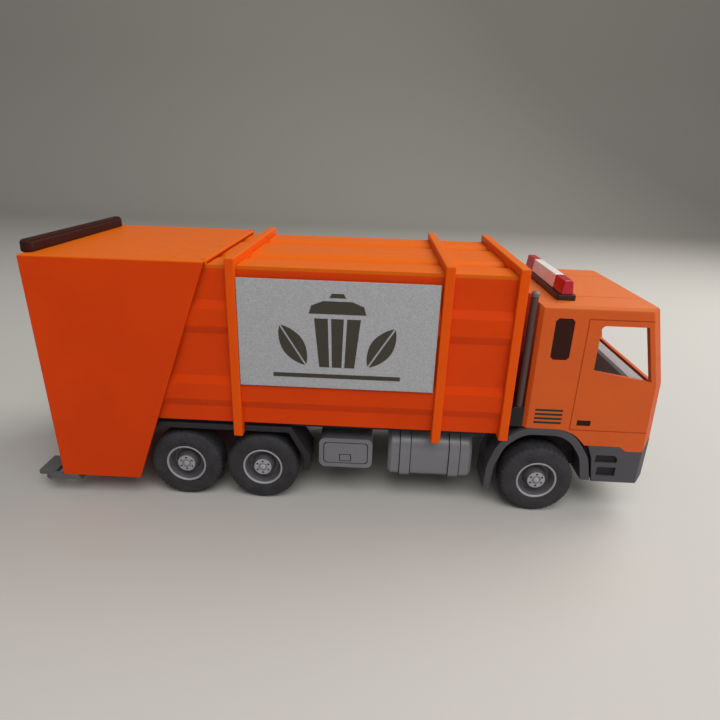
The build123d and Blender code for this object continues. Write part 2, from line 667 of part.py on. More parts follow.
with BuildPart() as cab_shell:
    with BuildSketch(side_plane(0)) as cab_side:
        with BuildLine():
            Polyline(*cab_profile, close=True)
        make_face()
        fillet(cab_side.vertices().sort_by_distance((st(ARCH_FLAT_X), ARCH_BEND[1]))[:2], ARCH_BEND_R)
    extrude(amount=CAB_HALF_W, both=True)
    side_edges = [e for e in cab_shell.edges() if e.bounding_box().size.Y < GROOVE_W]
    chamfer([e for e in side_edges if e.center().X > st(WIND_TOP) and e.center().Z > CHIN_TOP_Z
             and e.length > CAB_CORNER], CAB_CORNER)
    side_edges = [e for e in cab_shell.edges() if e.bounding_box().size.Y < GROOVE_W]
    chamfer([e for e in side_edges if e.bounding_box().max.X < st(CAB_REAR) + GROOVE_W], REAR_CORNER)
    side_edges = [e for e in cab_shell.edges() if e.bounding_box().size.Y < GROOVE_W]
    chamfer([e for e in side_edges if e.bounding_box().min.Z > CAB_TOP_Z - GROOVE_W], ROOF_BEVEL)
    # hollow inside, open below
    with BuildSketch(side_plane(0)):
        with BuildLine():
            Polyline(*cab_hollow(CAB_WALL), close=True)
        make_face()
    extrude(amount=CAB_HALF_W - CAB_CORNER, both=True, mode=Mode.SUBTRACT)
    with BuildSketch(side_plane(0)):
        with BuildLine():
            Polyline(*cab_hollow(CAB_WALL + CAB_CORNER), close=True)
        make_face()
    extrude(amount=CAB_HALF_W - CAB_WALL, both=True, mode=Mode.SUBTRACT)
    # side windows
    with BuildSketch(side_plane(0)) as window:
        with BuildLine():
            Polyline((st(WINDOW_REAR), WINDOW_SILL_REAR_Z), (st(WINDOW_REAR), WINDOW_TOP_Z),
                     (st(WINDOW_TOP_FRONT), WINDOW_TOP_Z), *at([WINDOW_SILL_FRONT]), close=True)
        make_face()
        fillet(window.vertices().group_by(Axis.X)[0].sort_by(Axis.Z)[-1], WINDOW_R)
    extrude(amount=CAB_HALF_W, both=True, mode=Mode.SUBTRACT)
    # windscreen opening
    with BuildSketch(Plane.YZ.offset(cab_front_x)):
        with Locations((0, middle(SCREEN_Z))):
            RectangleRounded(2 * (CAB_HALF_W - SCREEN_SIDE), span(SCREEN_Z), SCREEN_R)
    extrude(amount=WIND_TOP - CAB_FRONT - CAB_WALL, mode=Mode.SUBTRACT)
    # door joint and louvres
    with BuildSketch(side_plane(CAB_HALF_W - GROOVE_D)):
        with BuildLine():
            Polyline((cab_front_x, DOOR_TOP_Z), (st(DOOR_REAR), DOOR_TOP_Z), (st(DOOR_REAR), DOOR_BOTTOM_Z),
                     (cab_front_x, DOOR_BOTTOM_Z))
        trace(line_width=GROOVE_W)
        with Locations(*[(st(middle(LOUVRE_X)), LOUVRE_Z + n * LOUVRE_PITCH) for n in range(LOUVRES)]):
            Rectangle(span(LOUVRE_X), LOUVRE_H)
    extrude(amount=GROOVE_D, mode=Mode.SUBTRACT)
    # recesses for the quarter panel and the handle
    with BuildSketch(side_plane(CAB_HALF_W - RECESS_D)):
        add(quarter_face(0))
        with Locations((st(middle(HANDLE_X)), middle(HANDLE_Z))):
            Rectangle(span(HANDLE_X), span(HANDLE_Z))
    extrude(amount=RECESS_D, mode=Mode.SUBTRACT)
    mirror(about=Plane.XZ, mode=Mode.INTERSECT)
    # recess for the grille
    with Locations((cab_front_x, 0, middle(GRILLE_Z))):
        Box(2 * GRILLE_D, 2 * (CAB_HALF_W - GRILLE_SIDE), span(GRILLE_Z), mode=Mode.SUBTRACT)
    # two lengthwise joints in the roof
    with Locations(*[(st(middle(ROOF_LINE_X)), side * ROOF_LINE_Y, CAB_TOP_Z) for side in (-1, 1)]):
        Box(span(ROOF_LINE_X), GROOVE_W, 2 * GROOVE_D, mode=Mode.SUBTRACT)
finish(cab_shell.part, "cab_shell")

with BuildPart() as quarter_panels:
    with BuildSketch(side_plane(CAB_HALF_W - RECESS_D)):
        add(quarter_face(SEAT_GAP))
    extrude(amount=RECESS_D - QUARTER_IN)
    mirror(about=Plane.XZ)
finish(quarter_panels.part, "quarter_panels")

with BuildPart() as door_handles:
    with BuildSketch(side_plane(CAB_HALF_W - RECESS_D)):
        with Locations((st(middle(HANDLE_X)), middle(HANDLE_Z))):
            Rectangle(span(HANDLE_X) - 2 * SEAT_GAP, span(HANDLE_Z) - 2 * SEAT_GAP)
    extrude(amount=RECESS_D - HANDLE_IN)
    mirror(about=Plane.XZ)
finish(door_handles.part, "door_handles")

grille_w = 2 * (CAB_HALF_W - GRILLE_SIDE - SEAT_GAP)
grille_h = span(GRILLE_Z) - 2 * SEAT_GAP
with BuildPart() as front_grille:
    with BuildSketch(Plane.YZ.offset(cab_front_x - GRILLE_D)):
        with Locations((0, middle(GRILLE_Z))):
            Rectangle(grille_w, grille_h)
            with GridLocations(0, (grille_h - GRILLE_FRAME) / GRILLE_SLOTS, 1, GRILLE_SLOTS):
                Rectangle(grille_w - 2 * GRILLE_FRAME, GRILLE_SLOT_H, mode=Mode.SUBTRACT)
    extrude(amount=GRILLE_D)
finish(front_grille.part, "front_grille")

# seat back, bench, floor and dash in one folded moulding
tub_low_z = CAB_BOTTOM_Z + TUB_T / 2
tub_rear_x = st(CAB_REAR) + CAB_WALL + TUB_T / 2
with BuildPart() as cab_interior:
    with BuildSketch(side_plane(0)):
        with BuildLine():
            Polyline((tub_rear_x, tub_low_z), (tub_rear_x, SEAT_BACK_Z), (st(SEAT_BACK_X), SEAT_BACK_Z),
                     (st(SEAT_BACK_X) + SEAT_BACK_RAKE, SEAT_Z), (st(SEAT_FRONT), SEAT_Z),
                     (st(SEAT_FRONT), tub_low_z), (st(DASH_REAR), tub_low_z),
                     (st(DASH_REAR), DASH_Z - DASH_BEVEL), (st(DASH_REAR) + DASH_BEVEL, DASH_Z),
                     (st(DASH_FRONT), DASH_Z), (st(DASH_FRONT), DASH_FOOT_Z))
        trace(line_width=TUB_T)
    extrude(amount=CAB_HALF_W - CAB_CORNER - SWING_GAP, both=True)
finish(cab_interior.part, "cab_interior")

# ---------------------------------------------------------------- light bar

light_half_w = CAB_HALF_W - LIGHT_BASE_IN
lens_z = CAB_TOP_Z + LIGHT_BASE_H
lens_top_z = lens_z + LENS_H
lens_rear_x = st(LIGHT_X[0]) + LENS_INSET
lens_front_x = st(LIGHT_X[1]) - LENS_INSET
lens_section = [(lens_rear_x, lens_z), (lens_rear_x + LENS_TAPER, lens_top_z),
                (lens_front_x - LENS_TAPER, lens_top_z), (lens_front_x, lens_z)]

with BuildPart() as light_bar_base:
    with BuildSketch(Plane.XY.offset(CAB_TOP_Z)) as light_foot:
        with Locations((st(middle(LIGHT_X)), 0)):
            Rectangle(span(LIGHT_X), 2 * light_half_w)
        chamfer(light_foot.vertices(), LIGHT_BASE_BEVEL)
    extrude(amount=LIGHT_BASE_H)
finish(light_bar_base.part, "light_bar_base")

with BuildPart() as light_bar_clear:
    with BuildSketch(side_plane(0)):
        with BuildLine():
            Polyline(*lens_section, close=True)
        make_face()
    extrude(amount=LENS_RED_IN, both=True)
finish(light_bar_clear.part, "light_bar_clear")

lens_end_y = light_half_w - LENS_END_IN
with BuildPart() as light_bar_red:
    with BuildSketch(side_plane(LENS_RED_IN)):
        with BuildLine():
            Polyline(*lens_section, close=True)
        make_face()
    extrude(amount=lens_end_y - LENS_RED_IN)
    mirror(about=Plane.XZ)
finish(light_bar_red.part, "light_bar_red")

# ---------------------------------------------------------------- engine cover and exhaust

with BuildPart() as engine_cover:
    with BuildSketch(side_plane(0)):
        with BuildLine():
            Polyline((st(COVER_X[0]), CAB_BOTTOM_Z), (st(COVER_X[0]), COVER_TOP_Z - COVER_BEVEL[1]),
                     (st(COVER_X[0]) + COVER_BEVEL[0], COVER_TOP_Z), (st(COVER_X[1]), COVER_TOP_Z),
                     (st(COVER_X[1]), CAB_BOTTOM_Z), close=True)
        make_face()
    extrude(amount=CAB_HALF_W - COVER_SIDE, both=True)
    with Locations((st(middle(COVER_X)), 0, (BODY_Z + CAB_BOTTOM_Z) / 2)):
        Box(span(COVER_X), 2 * rail_out_y, CAB_BOTTOM_Z - BODY_Z)
finish(engine_cover.part, "engine_cover")

stack_at = (st(STACK_X), STACK_SIDE - CAB_HALF_W)
with BuildPart() as exhaust_stack:
    with BuildSketch(Plane.XY.offset(COVER_TOP_Z)):
        with Locations(stack_at):
            RegularPolygon(STACK_R, SMALL_SIDES, major_radius=False)
    extrude(amount=STACK_TOP_Z - COVER_TOP_Z)
finish(exhaust_stack.part, "exhaust_stack")

with BuildPart() as exhaust_cap:
    with BuildSketch(Plane.XY.offset(STACK_TOP_Z)):
        with Locations(stack_at):
            RegularPolygon(STACK_CAP_R, SMALL_SIDES, major_radius=False)
    extrude(amount=STACK_CAP_H)
    chamfer(exhaust_cap.faces().sort_by(Axis.Z)[-1].edges(), STACK_CAP_BEVEL)
finish(exhaust_cap.part, "exhaust_cap")

# ---------------------------------------------------------------- front wheel arches and bumper

arch_in_y = CAB_HALF_W - ARCH_DEPTH


def arch_edge(points, radius):
    """One edge of the wheel arch, its bends rounded."""
    return FilletPolyline(*at(points), radius=radius)


with BuildPart() as front_fenders:
    with BuildSketch(side_plane(arch_in_y)):
        with BuildLine():
            arch_edge(ARCH_OUTER, ARCH_R)
            arch_edge(ARCH_INNER, ARCH_R - ARCH_T)
            Line(*at([ARCH_OUTER[0], ARCH_INNER[0]]))
            Line(*at([ARCH_OUTER[-1], ARCH_INNER[-1]]))
        make_face()
    extrude(amount=ARCH_DEPTH)
    with BuildSketch(side_plane(arch_in_y)):
        with BuildLine():
            Polyline(*at(ARCH_INNER[1:-1]), close=True)
        make_face()
    extrude(amount=LINER_T)
    # stay to the chassis rail
    with Locations((FRONT_AXLE_X, -(rail_out_y + arch_in_y) / 2, BODY_Z - ARCH_STAY_H / 2)):
        Box(ARCH_STAY_L, arch_in_y - rail_out_y, ARCH_STAY_H)
    mirror(about=Plane.XZ)
finish(front_fenders.part, "front_fenders")

bumper_front_x = st(BUMPER_FRONT)
bumper_profile = [*at(BUMPER_REAR), (bumper_front_x - BUMPER_BEVEL, BUMPER_BOTTOM_Z),
                  (bumper_front_x, BUMPER_BOTTOM_Z + BUMPER_BEVEL), (bumper_front_x, CHIN_TOP_Z),
                  (st(CHIN_FRONT), CHIN_Z), (st(CHIN_REAR), CHIN_Z), (st(CHIN_REAR) - CHIN_STEP, SKIRT_Z)]
with BuildPart() as front_bumper:
    with BuildSketch(side_plane(0)):
        with BuildLine():
            Polyline(*bumper_profile, close=True)
        make_face()
    extrude(amount=CAB_HALF_W, both=True)
    chamfer([e for e in front_bumper.edges() if e.bounding_box().size.Y < GROOVE_W
             and e.bounding_box().min.X > bumper_front_x - GROOVE_W], CAB_CORNER)
    # open to the rear and above, walls all round the front
    hollow_l = bumper_front_x - st(BUMPER_REAR[0][0])
    hollow_z = (BUMPER_BOTTOM_Z + CHIN_TOP_Z) / 2
    hollow_h = 2 * (CHIN_TOP_Z - BUMPER_BOTTOM_Z)
    with Locations((bumper_front_x - BUMPER_WALL - hollow_l / 2, 0, hollow_z)):
        Box(hollow_l, 2 * (CAB_HALF_W - CAB_CORNER), hollow_h, mode=Mode.SUBTRACT)
    with Locations((bumper_front_x - BUMPER_WALL - CAB_CORNER - hollow_l / 2, 0, hollow_z)):
        Box(hollow_l, 2 * (CAB_HALF_W - BUMPER_WALL), hollow_h, mode=Mode.SUBTRACT)
    # upright wall closing the hollow beside the arch
    with BuildSketch(side_plane(rail_out_y + SWING_GAP)):
        with BuildLine():
            Polyline(*at(BUMPER_REAR), *[(x + BUMPER_BACK_T, z) for x, z in at(reversed(BUMPER_REAR))],
                     close=True)
        make_face()
    extrude(amount=CAB_HALF_W - BUMPER_WALL - rail_out_y - SWING_GAP)
    # two recesses in each side
    with BuildSketch(side_plane(CAB_HALF_W - BUMPER_RECESS_D)):
        for recess in (RECESS_UPPER, RECESS_LOWER):
            with BuildLine():
                Polyline(*at(recess), close=True)
            make_face()
    extrude(amount=BUMPER_RECESS_D, mode=Mode.SUBTRACT)
    mirror(about=Plane.XZ, mode=Mode.INTERSECT)
    # lamp recesses
    with Locations(*[(bumper_front_x, side * LAMP_Y, middle(LAMP_Z)) for side in (-1, 1)]):
        Box(2 * LAMP_D, LAMP_W, span(LAMP_Z), mode=Mode.SUBTRACT)
finish(front_bumper.part, "front_bumper")

with BuildPart() as headlamps:
    with BuildSketch(Plane.YZ.offset(bumper_front_x - LAMP_D)) as lamp_faces:
        with Locations(*[(side * LAMP_Y, middle(LAMP_Z)) for side in (-1, 1)]):
            Rectangle(LAMP_W - 2 * SEAT_GAP, span(LAMP_Z) - 2 * SEAT_GAP)
        chamfer(lamp_faces.vertices(), LAMP_BEVEL)
    extrude(amount=LAMP_D - LAMP_IN)
finish(headlamps.part, "headlamps")

# ---------------------------------------------------------------- tanks and tool boxes


tank_curve_r = TANK_Z[1] - TANK_CREASE_Z
tank_curve_y = tank_curve_r - side_face_y


def tank_section(proud, foot_y):
    """Closed outline of the tank's cross-section, this much proud of the tank's own faces."""
    face_y = -side_face_y - proud
    low_z = TANK_Z[0] - proud
    top_z = TANK_Z[1] + proud
    curve = []
    for n in range(TANK_FLATS + 1):
        angle = radians(90 * n / TANK_FLATS)
        curve.append((tank_curve_y - (tank_curve_r + proud) * cos(angle),
                      TANK_CREASE_Z + (tank_curve_r + proud) * sin(angle)))
    with BuildLine() as outline:
        Polyline((-foot_y, top_z), (-foot_y, low_z), (face_y + TANK_LOW_BEVEL, low_z),
                 (face_y, low_z + TANK_LOW_BEVEL), *curve, close=True)
    return outline.line


with BuildPart() as fuel_tanks:
    with BuildSketch(Plane.YZ.offset(st(TANK_X[0]))):
        make_face(tank_section(0, rail_out_y))
    extrude(amount=span(TANK_X))
    end_edges = fuel_tanks.faces().filter_by(Axis.X).edges()
    chamfer([e for e in end_edges if e.bounding_box().min.Y < -rail_out_y - TANK_END_BEVEL], TANK_END_BEVEL)
    for strap in STRAP_X:
        with BuildSketch(Plane.YZ.offset(st(strap))):
            make_face(tank_section(STRAP_PROUD, rail_out_y + STRAP_END_GAP))
        extrude(amount=STRAP_L)
    mirror(about=Plane.XZ)
finish(fuel_tanks.part, "fuel_tanks")

def box_door(inset):
    """Outline of the box's door, this far in from the box's edge."""
    with BuildSketch() as door:
        with Locations((st(middle(BOX_X)), middle(BOX_Z))):
            Rectangle(span(BOX_X) - 2 * inset, span(BOX_Z) - 2 * inset)
        chamfer(door.vertices(), BOX_DOOR_BEVEL)
    return door.sketch


with BuildPart() as toolboxes:
    with BuildSketch(side_plane(rail_out_y)):
        with Locations((st(middle(BOX_X)), middle(BOX_Z))):
            RectangleRounded(span(BOX_X), span(BOX_Z), BOX_R)
    extrude(amount=side_face_y - rail_out_y)
    # grooves round the door and round the latch
    with BuildSketch(side_plane(side_face_y - BOX_GROOVE_D)):
        add(box_door(BOX_DOOR_IN))
        add(box_door(BOX_DOOR_IN + BOX_GROOVE_W), mode=Mode.SUBTRACT)
        with Locations((st(middle(BOX_LATCH_X)), middle(BOX_LATCH_Z))):
            Rectangle(span(BOX_LATCH_X), span(BOX_LATCH_Z))
            Rectangle(span(BOX_LATCH_X) - 2 * BOX_GROOVE_W, span(BOX_LATCH_Z) - 2 * BOX_GROOVE_W,
                      mode=Mode.SUBTRACT)
    extrude(amount=BOX_GROOVE_D, mode=Mode.SUBTRACT)
    mirror(about=Plane.XZ)
finish(toolboxes.part, "toolboxes")

# ---------------------------------------------------------------- rear mudguards

guard_out_y = BODY_HALF_W - GUARD_SIDE
guard_in_y = guard_out_y - GUARD_W
guard_top_z = GUARD_Z + GUARD_T
guard_mid_z = GUARD_Z + GUARD_T / 2
guard_tail_x = rear_axle_x - GUARD_TAIL
nose_top_x = mid_axle_x + GUARD_NOSE_TOP
nose_low_x = mid_axle_x + GUARD_NOSE_LOW
foot_in_y = BODY_HALF_W - RIB_FOOT_IN - GUARD_NOTCH_GAP

with BuildPart() as rear_mudguards:
    with BuildSketch(side_plane(guard_in_y)):
        with BuildLine():
            Polyline((guard_tail_x, GUARD_Z), (guard_tail_x, guard_top_z), (nose_top_x, guard_top_z),
                     (nose_low_x, GUARD_NOSE_Z), (nose_low_x, GUARD_FOOT_Z),
                     (nose_low_x - GUARD_NOSE_T, GUARD_FOOT_Z),
                     (nose_low_x - GUARD_NOSE_T, GUARD_NOSE_Z - GUARD_NOSE_BEND),
                     (nose_top_x - GUARD_NOSE_BEND, GUARD_Z), close=True)
        make_face()
    extrude(amount=GUARD_W)
    # notch round the foot of the rear rib
    with Locations((rib_front_x[2] - RIB_L / 2, -(foot_in_y + guard_out_y) / 2, guard_mid_z)):
        Box(RIB_L + 2 * GUARD_NOTCH_GAP, guard_out_y - foot_in_y, GUARD_T, mode=Mode.SUBTRACT)
    # stay to the chassis rail
    with Locations((middle((rear_axle_x, mid_axle_x)), -(rail_out_y + guard_in_y) / 2, guard_mid_z)):
        Box(GUARD_STAY_L, guard_in_y - rail_out_y, GUARD_T)
    mirror(about=Plane.XZ)
finish(rear_mudguards.part, "rear_mudguards")
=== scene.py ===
"""Looks of the toy refuse truck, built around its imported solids.

Sizes are in millimetres unless a comment says metres, in the part's own frame: +X to the front of
the truck, +Y to its left side, +Z up, the origin on the ground. Each sub-assembly is a class that
builds its own pieces and dresses them, and main() builds them in order.
"""

from __future__ import annotations

import json
import logging
import math
from dataclasses import dataclass, field
from enum import Enum
from typing import Callable, Sequence

import bpy
from mathutils import Matrix, Vector

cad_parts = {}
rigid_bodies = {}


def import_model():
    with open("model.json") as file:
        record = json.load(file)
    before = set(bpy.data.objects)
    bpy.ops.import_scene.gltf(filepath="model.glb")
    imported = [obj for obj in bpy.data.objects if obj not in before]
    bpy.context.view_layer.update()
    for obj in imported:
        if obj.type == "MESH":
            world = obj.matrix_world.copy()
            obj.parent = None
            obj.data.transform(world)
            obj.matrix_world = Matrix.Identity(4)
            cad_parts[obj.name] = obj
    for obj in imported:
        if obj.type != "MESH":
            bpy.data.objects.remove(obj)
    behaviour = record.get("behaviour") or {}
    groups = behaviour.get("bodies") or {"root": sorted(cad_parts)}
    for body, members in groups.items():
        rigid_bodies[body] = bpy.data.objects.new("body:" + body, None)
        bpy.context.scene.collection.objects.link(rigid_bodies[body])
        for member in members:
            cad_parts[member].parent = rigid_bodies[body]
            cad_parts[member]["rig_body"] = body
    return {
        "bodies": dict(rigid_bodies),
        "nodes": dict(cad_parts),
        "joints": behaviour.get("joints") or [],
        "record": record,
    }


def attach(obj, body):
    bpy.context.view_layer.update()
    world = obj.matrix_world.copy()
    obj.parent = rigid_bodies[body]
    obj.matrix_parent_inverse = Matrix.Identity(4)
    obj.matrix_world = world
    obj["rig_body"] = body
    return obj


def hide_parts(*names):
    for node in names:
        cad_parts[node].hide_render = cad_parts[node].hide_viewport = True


LOG = logging.getLogger("truck")
MM = 0.001
MERGE = 1e-6  # metres within which corners of a solid's mesh are one
FLAT_BEND = math.radians(0.5)  # bend under which two faces are one
SHADE_ANGLE = 38.0  # degrees under which an edge is shaded smooth
Piece = bpy.types.Object
Material = bpy.types.Material
Node = bpy.types.Node
Colour = tuple[float, float, float]
Ring = tuple[float, float]
Test = Callable[[Vector, Vector], bool]


def shade(colour: Colour, factor: float) -> Colour:
    """Colour made darker or lighter by a factor."""
    return tuple(min(1.0, part * factor) for part in colour)


# ---- finishes


class Board:
    """A material's node tree with short calls for the nodes that the finishes share."""

    def __init__(self, name: str) -> None:
        """Starts an empty material.

        Args:
            name: the material's name.
        """
        self.material = bpy.data.materials.new(name)
        self.material.use_nodes = True
        self.tree = self.material.node_tree
        self.tree.nodes.clear()
        self.shader = self.add("ShaderNodeBsdfPrincipled")
        self.link(self.shader, "BSDF", self.add("ShaderNodeOutputMaterial"), "Surface")
        self.place = self.add("ShaderNodeTexCoord")

    def add(self, kind: str) -> Node:
        """New node of a kind."""
        return self.tree.nodes.new(kind)

    def link(self, source: Node, output: str | int, target: Node, socket: str | int) -> None:
        """Joins an output to an input."""
        self.tree.links.new(source.outputs[output], target.inputs[socket])

    def put(self, **values: float) -> None:
        """Sets values on the shader's own sockets, named with underscores for spaces."""
        for name, value in values.items():
            self.shader.inputs[name.replace("_", " ")].default_value = value

    def gloss(self, source: Node, low: float, high: float) -> None:
        """Spreads the shader's roughness over a range by a texture."""
        self.link(self.spread(source, low, high), 0, self.shader, "Roughness")

    def relief(self, skin: Node) -> None:
        """Gives the shader a bump."""
        self.link(skin, "Normal", self.shader, "Normal")

    def stretch(self, scale: Sequence[float]) -> Node:
        """Object coordinates scaled along each axis.

        Args:
            scale: factor along X, Y and Z.

        Returns:
            The mapping node, whose Vector output feeds a texture.
        """
        mapping = self.add("ShaderNodeMapping")
        mapping.inputs["Scale"].default_value = scale
        self.link(self.place, "Object", mapping, "Vector")
        return mapping

    def noise(self, per_mm: float, detail: float = 2.0, rough: float = 0.5,
              along: Sequence[float] = (1.0, 1.0, 1.0)) -> Node:
        """Noise with its grain given per millimetre.

        Args:
            per_mm: grains to a millimetre.
            detail: octaves.
            rough: share of the finer octaves.
            along: stretch of the pattern along X, Y and Z.

        Returns:
            The noise node.
        """
        texture = self.add("ShaderNodeTexNoise")
        texture.inputs["Scale"].default_value = per_mm / MM
        texture.inputs["Detail"].default_value = detail
        texture.inputs["Roughness"].default_value = rough
        self.link(self.stretch(along), "Vector", texture, "Vector")
        return texture

    def spread(self, source: Node, low: float, high: float,
               start: float = 0.3, end: float = 0.7) -> Node:
        """Maps a texture's factor onto a range of values.

        Args:
            source: node whose first output is mapped.
            low: value at the start.
            high: value at the end.
            start: factor that gives the low value.
            end: factor that gives the high value.

        Returns:
            The mapping node.
        """
        ramp = self.add("ShaderNodeMapRange")
        limits = {"From Min": start, "From Max": end, "To Min": low, "To Max": high}
        for name, value in limits.items():
            ramp.inputs[name].default_value = value
        self.link(source, 0, ramp, "Value")
        return ramp

    def along(self, axis: str, start: float, end: float) -> Node:
        """Factor that grows from 0 to 1 along an axis.

        Args:
            axis: X, Y or Z.
            start: place in metres where it is 0.
            end: place in metres where it is 1.

        Returns:
            The mapping node.
        """
        parts = self.add("ShaderNodeSeparateXYZ")
        self.link(self.place, "Object", parts, "Vector")
        ramp = self.add("ShaderNodeMapRange")
        ramp.interpolation_type = "SMOOTHSTEP"
        ramp.inputs["From Min"].default_value = start
        ramp.inputs["From Max"].default_value = end
        self.link(parts, axis, ramp, "Value")
        return ramp

    def tint(self, factor: Node, first: Colour | None, second: Colour) -> None:
        """Gives the shader a colour between two.

        Args:
            factor: node whose first output mixes them.
            first: colour at 0, or None for the one that the shader has so far.
            second: colour at 1.
        """
        base = self.shader.inputs["Base Color"]
        mix = self.add("ShaderNodeMix")
        mix.data_type = "RGBA"
        colours = [socket for socket in mix.inputs if socket.type == "RGBA"]
        if first is None:
            self.tree.links.new(base.links[0].from_socket, colours[0])
        else:
            colours[0].default_value = (*first, 1.0)
        colours[1].default_value = (*second, 1.0)
        self.link(factor, 0, mix, "Factor")
        result = next(socket for socket in mix.outputs if socket.type == "RGBA")
        self.tree.links.new(result, base)

    def bump(self, height: Node, depth_mm: float, below: Node | None = None) -> Node:
        """Bump of a height texture, on top of another bump where one is given.

        Args:
            height: node whose first output is the height.
            depth_mm: height of the relief.
            below: bump that this one stands on.

        Returns:
            The bump node.
        """
        node = self.add("ShaderNodeBump")
        node.inputs["Distance"].default_value = depth_mm * MM
        self.link(height, 0, node, "Height")
        if below is not None:
            self.link(below, "Normal", node, "Normal")
        return node


@dataclass(frozen=True)
class Plastic:
    """Injection-moulded plastic: soft tone changes, flow marks and a fine skin."""

    name: str
    colour: Colour
    gloss: float = 0.38
    tone: float = 0.05  # how much darker and lighter its clouds are
    grain_mm: float = 0.4
    grain_depth: float = 0.012
    flow: Sequence[float] = (1.0, 1.0, 1.0)
    flow_depth: float = 0.0
    specular: float = 0.5
    metal: float = 0.0
    lit_top: Colour | None = None  # painted highlight: lighter, yellower tone of its upper faces, where light falls from above
    lit_top_z: tuple[float, float] = (0.0, 1.0)  # metres over which that tone sets in

    def material(self) -> Material:
        """Builds the finish.

        Returns:
            Its material.
        """
        board = Board(self.name)
        cloud = board.noise(per_mm=0.03, detail=3.0, rough=0.55)
        board.tint(board.spread(cloud, 0.0, 1.0), shade(self.colour, 1.0 - self.tone),
                   shade(self.colour, 1.0 + self.tone))
        # painted highlight: from a height up, the colour turns to the lighter top tone
        if self.lit_top:
            board.tint(board.along("Z", *self.lit_top_z), None, self.lit_top)
        patch = board.noise(per_mm=0.15, detail=4.0, rough=0.6)
        board.gloss(patch, self.gloss - 0.05, self.gloss + 0.07)
        skin = None
        if self.grain_depth:
            skin = board.bump(board.noise(1.0 / self.grain_mm), self.grain_depth)
        if self.flow_depth:
            marks = board.noise(per_mm=0.25, along=self.flow)
            skin = board.bump(marks, self.flow_depth, skin)
        if skin is not None:
            board.relief(skin)
        board.put(Specular_IOR_Level=self.specular, Metallic=self.metal)
        return board.material


@dataclass(frozen=True)
class OrangePlastic(Plastic):
    """Smooth orange plastic of the body, with a painted highlight: yellower on its upper faces,
    where light falls from above.
    """

    gloss: float = 0.36
    grain_depth: float = 0.0
    flow_depth: float = 0.02
    specular: float = 0.09


@dataclass(frozen=True)
class Rubber:
    """Matt rubber with dust in its pores."""

    name: str
    colour: Colour
    dust: Colour
    gloss: float = 0.72

    def material(self) -> Material:
        """Builds the finish.

        Returns:
            Its material.
        """
        board = Board(self.name)
        cloud = board.noise(per_mm=0.12, detail=5.0, rough=0.65)
        board.tint(board.spread(cloud, 0.0, 1.0, start=0.35, end=0.75), self.colour, self.dust)
        board.gloss(board.noise(per_mm=0.4, detail=3.0), self.gloss - 0.08, self.gloss + 0.1)
        board.relief(board.bump(board.noise(per_mm=3.5, detail=3.0, rough=0.6), depth_mm=0.03))
        board.put(Specular_IOR_Level=0.35)
        return board.material


@dataclass(frozen=True)
class GrainedSheet:
    """Moulded sheet with an even eroded grain on its face."""

    name: str
    colour: Colour
    speck: Colour
    grain_mm: float = 0.55
    depth: float = 0.06
    gloss: float = 0.5
    specular: float = 0.5

    def material(self) -> Material:
        """Builds the finish.

        Returns:
            Its material.
        """
        board = Board(self.name)
        grain = board.noise(1.0 / self.grain_mm, rough=0.55)
        board.tint(board.spread(grain, 0.0, 1.0, start=0.35, end=0.65), self.colour, self.speck)
        board.gloss(board.noise(per_mm=0.2, detail=3.0), self.gloss - 0.06, self.gloss + 0.08)
        board.relief(board.bump(grain, self.depth))
        board.put(Specular_IOR_Level=self.specular)
        return board.material


@dataclass(frozen=True)
class Lens:
    """Tinted see-through plastic with faint ribs inside."""

    name: str
    colour: Colour
    clear: float = 0.12  # share of the light that it lets through
    gloss: float = 0.12

    def material(self) -> Material:
        """Builds the finish.

        Returns:
            Its material.
        """
        board = Board(self.name)
        cloud = board.noise(per_mm=0.2, detail=3.0)
        board.tint(board.spread(cloud, 0.0, 1.0), shade(self.colour, 0.9), self.colour)
        board.gloss(board.noise(per_mm=0.5), self.gloss - 0.04, self.gloss + 0.05)
        ribs = board.noise(per_mm=0.5, along=(3.0, 0.4, 0.4))
        board.relief(board.bump(ribs, depth_mm=0.03))
        board.put(Transmission_Weight=self.clear, IOR=1.49)
        return board.material


@dataclass(frozen=True)
class Steel:
    """Drawn steel rod with fine lengthwise scratches."""

    name: str
    colour: Colour
    gloss: float = 0.3

    def material(self) -> Material:
        """Builds the finish.

        Returns:
            Its material.
        """
        board = Board(self.name)
        streaks = board.noise(per_mm=1.5, detail=3.0, rough=0.6, along=(1.0, 0.05, 1.0))
        board.tint(board.spread(streaks, 0.0, 1.0), shade(self.colour, 0.8), self.colour)
        board.gloss(streaks, self.gloss - 0.08, self.gloss + 0.15)
        board.relief(board.bump(streaks, depth_mm=0.01))
        board.put(Metallic=1.0)
        return board.material


ORANGE: Colour = (0.65, 0.049, 0.002)
# painted highlight: lighter, yellower orange of upper faces, where light falls from above
LIT_TOP_ORANGE: Colour = (0.66, 0.118, 0.004)
# painted glow: the ribs are lighter than the body, for light that shines through them
RIB_GLOW_ORANGE: Colour = (0.73, 0.080, 0.002)
# painted sheen: the cab's paler orange stands for light reflected off its sides
CAB_SHEEN_ORANGE: Colour = (0.60, 0.098, 0.016)
# painted highlight: lighter tone of the cab's roof, where light falls from above
LIT_ROOF_ORANGE: Colour = (0.60, 0.135, 0.028)
SIDE_FLOW = (0.12, 1.0, 1.0)  # flow marks run along the truck's sides
CAB_ROOF_Z = (0.1160, 0.1175)  # metres, as the next three
RIB_TOP_Z = (0.1360, 0.1370)
BODY_ROOF_Z = (0.1312, 0.1319)
TAIL_ROOF_Z = (0.1342, 0.1350)

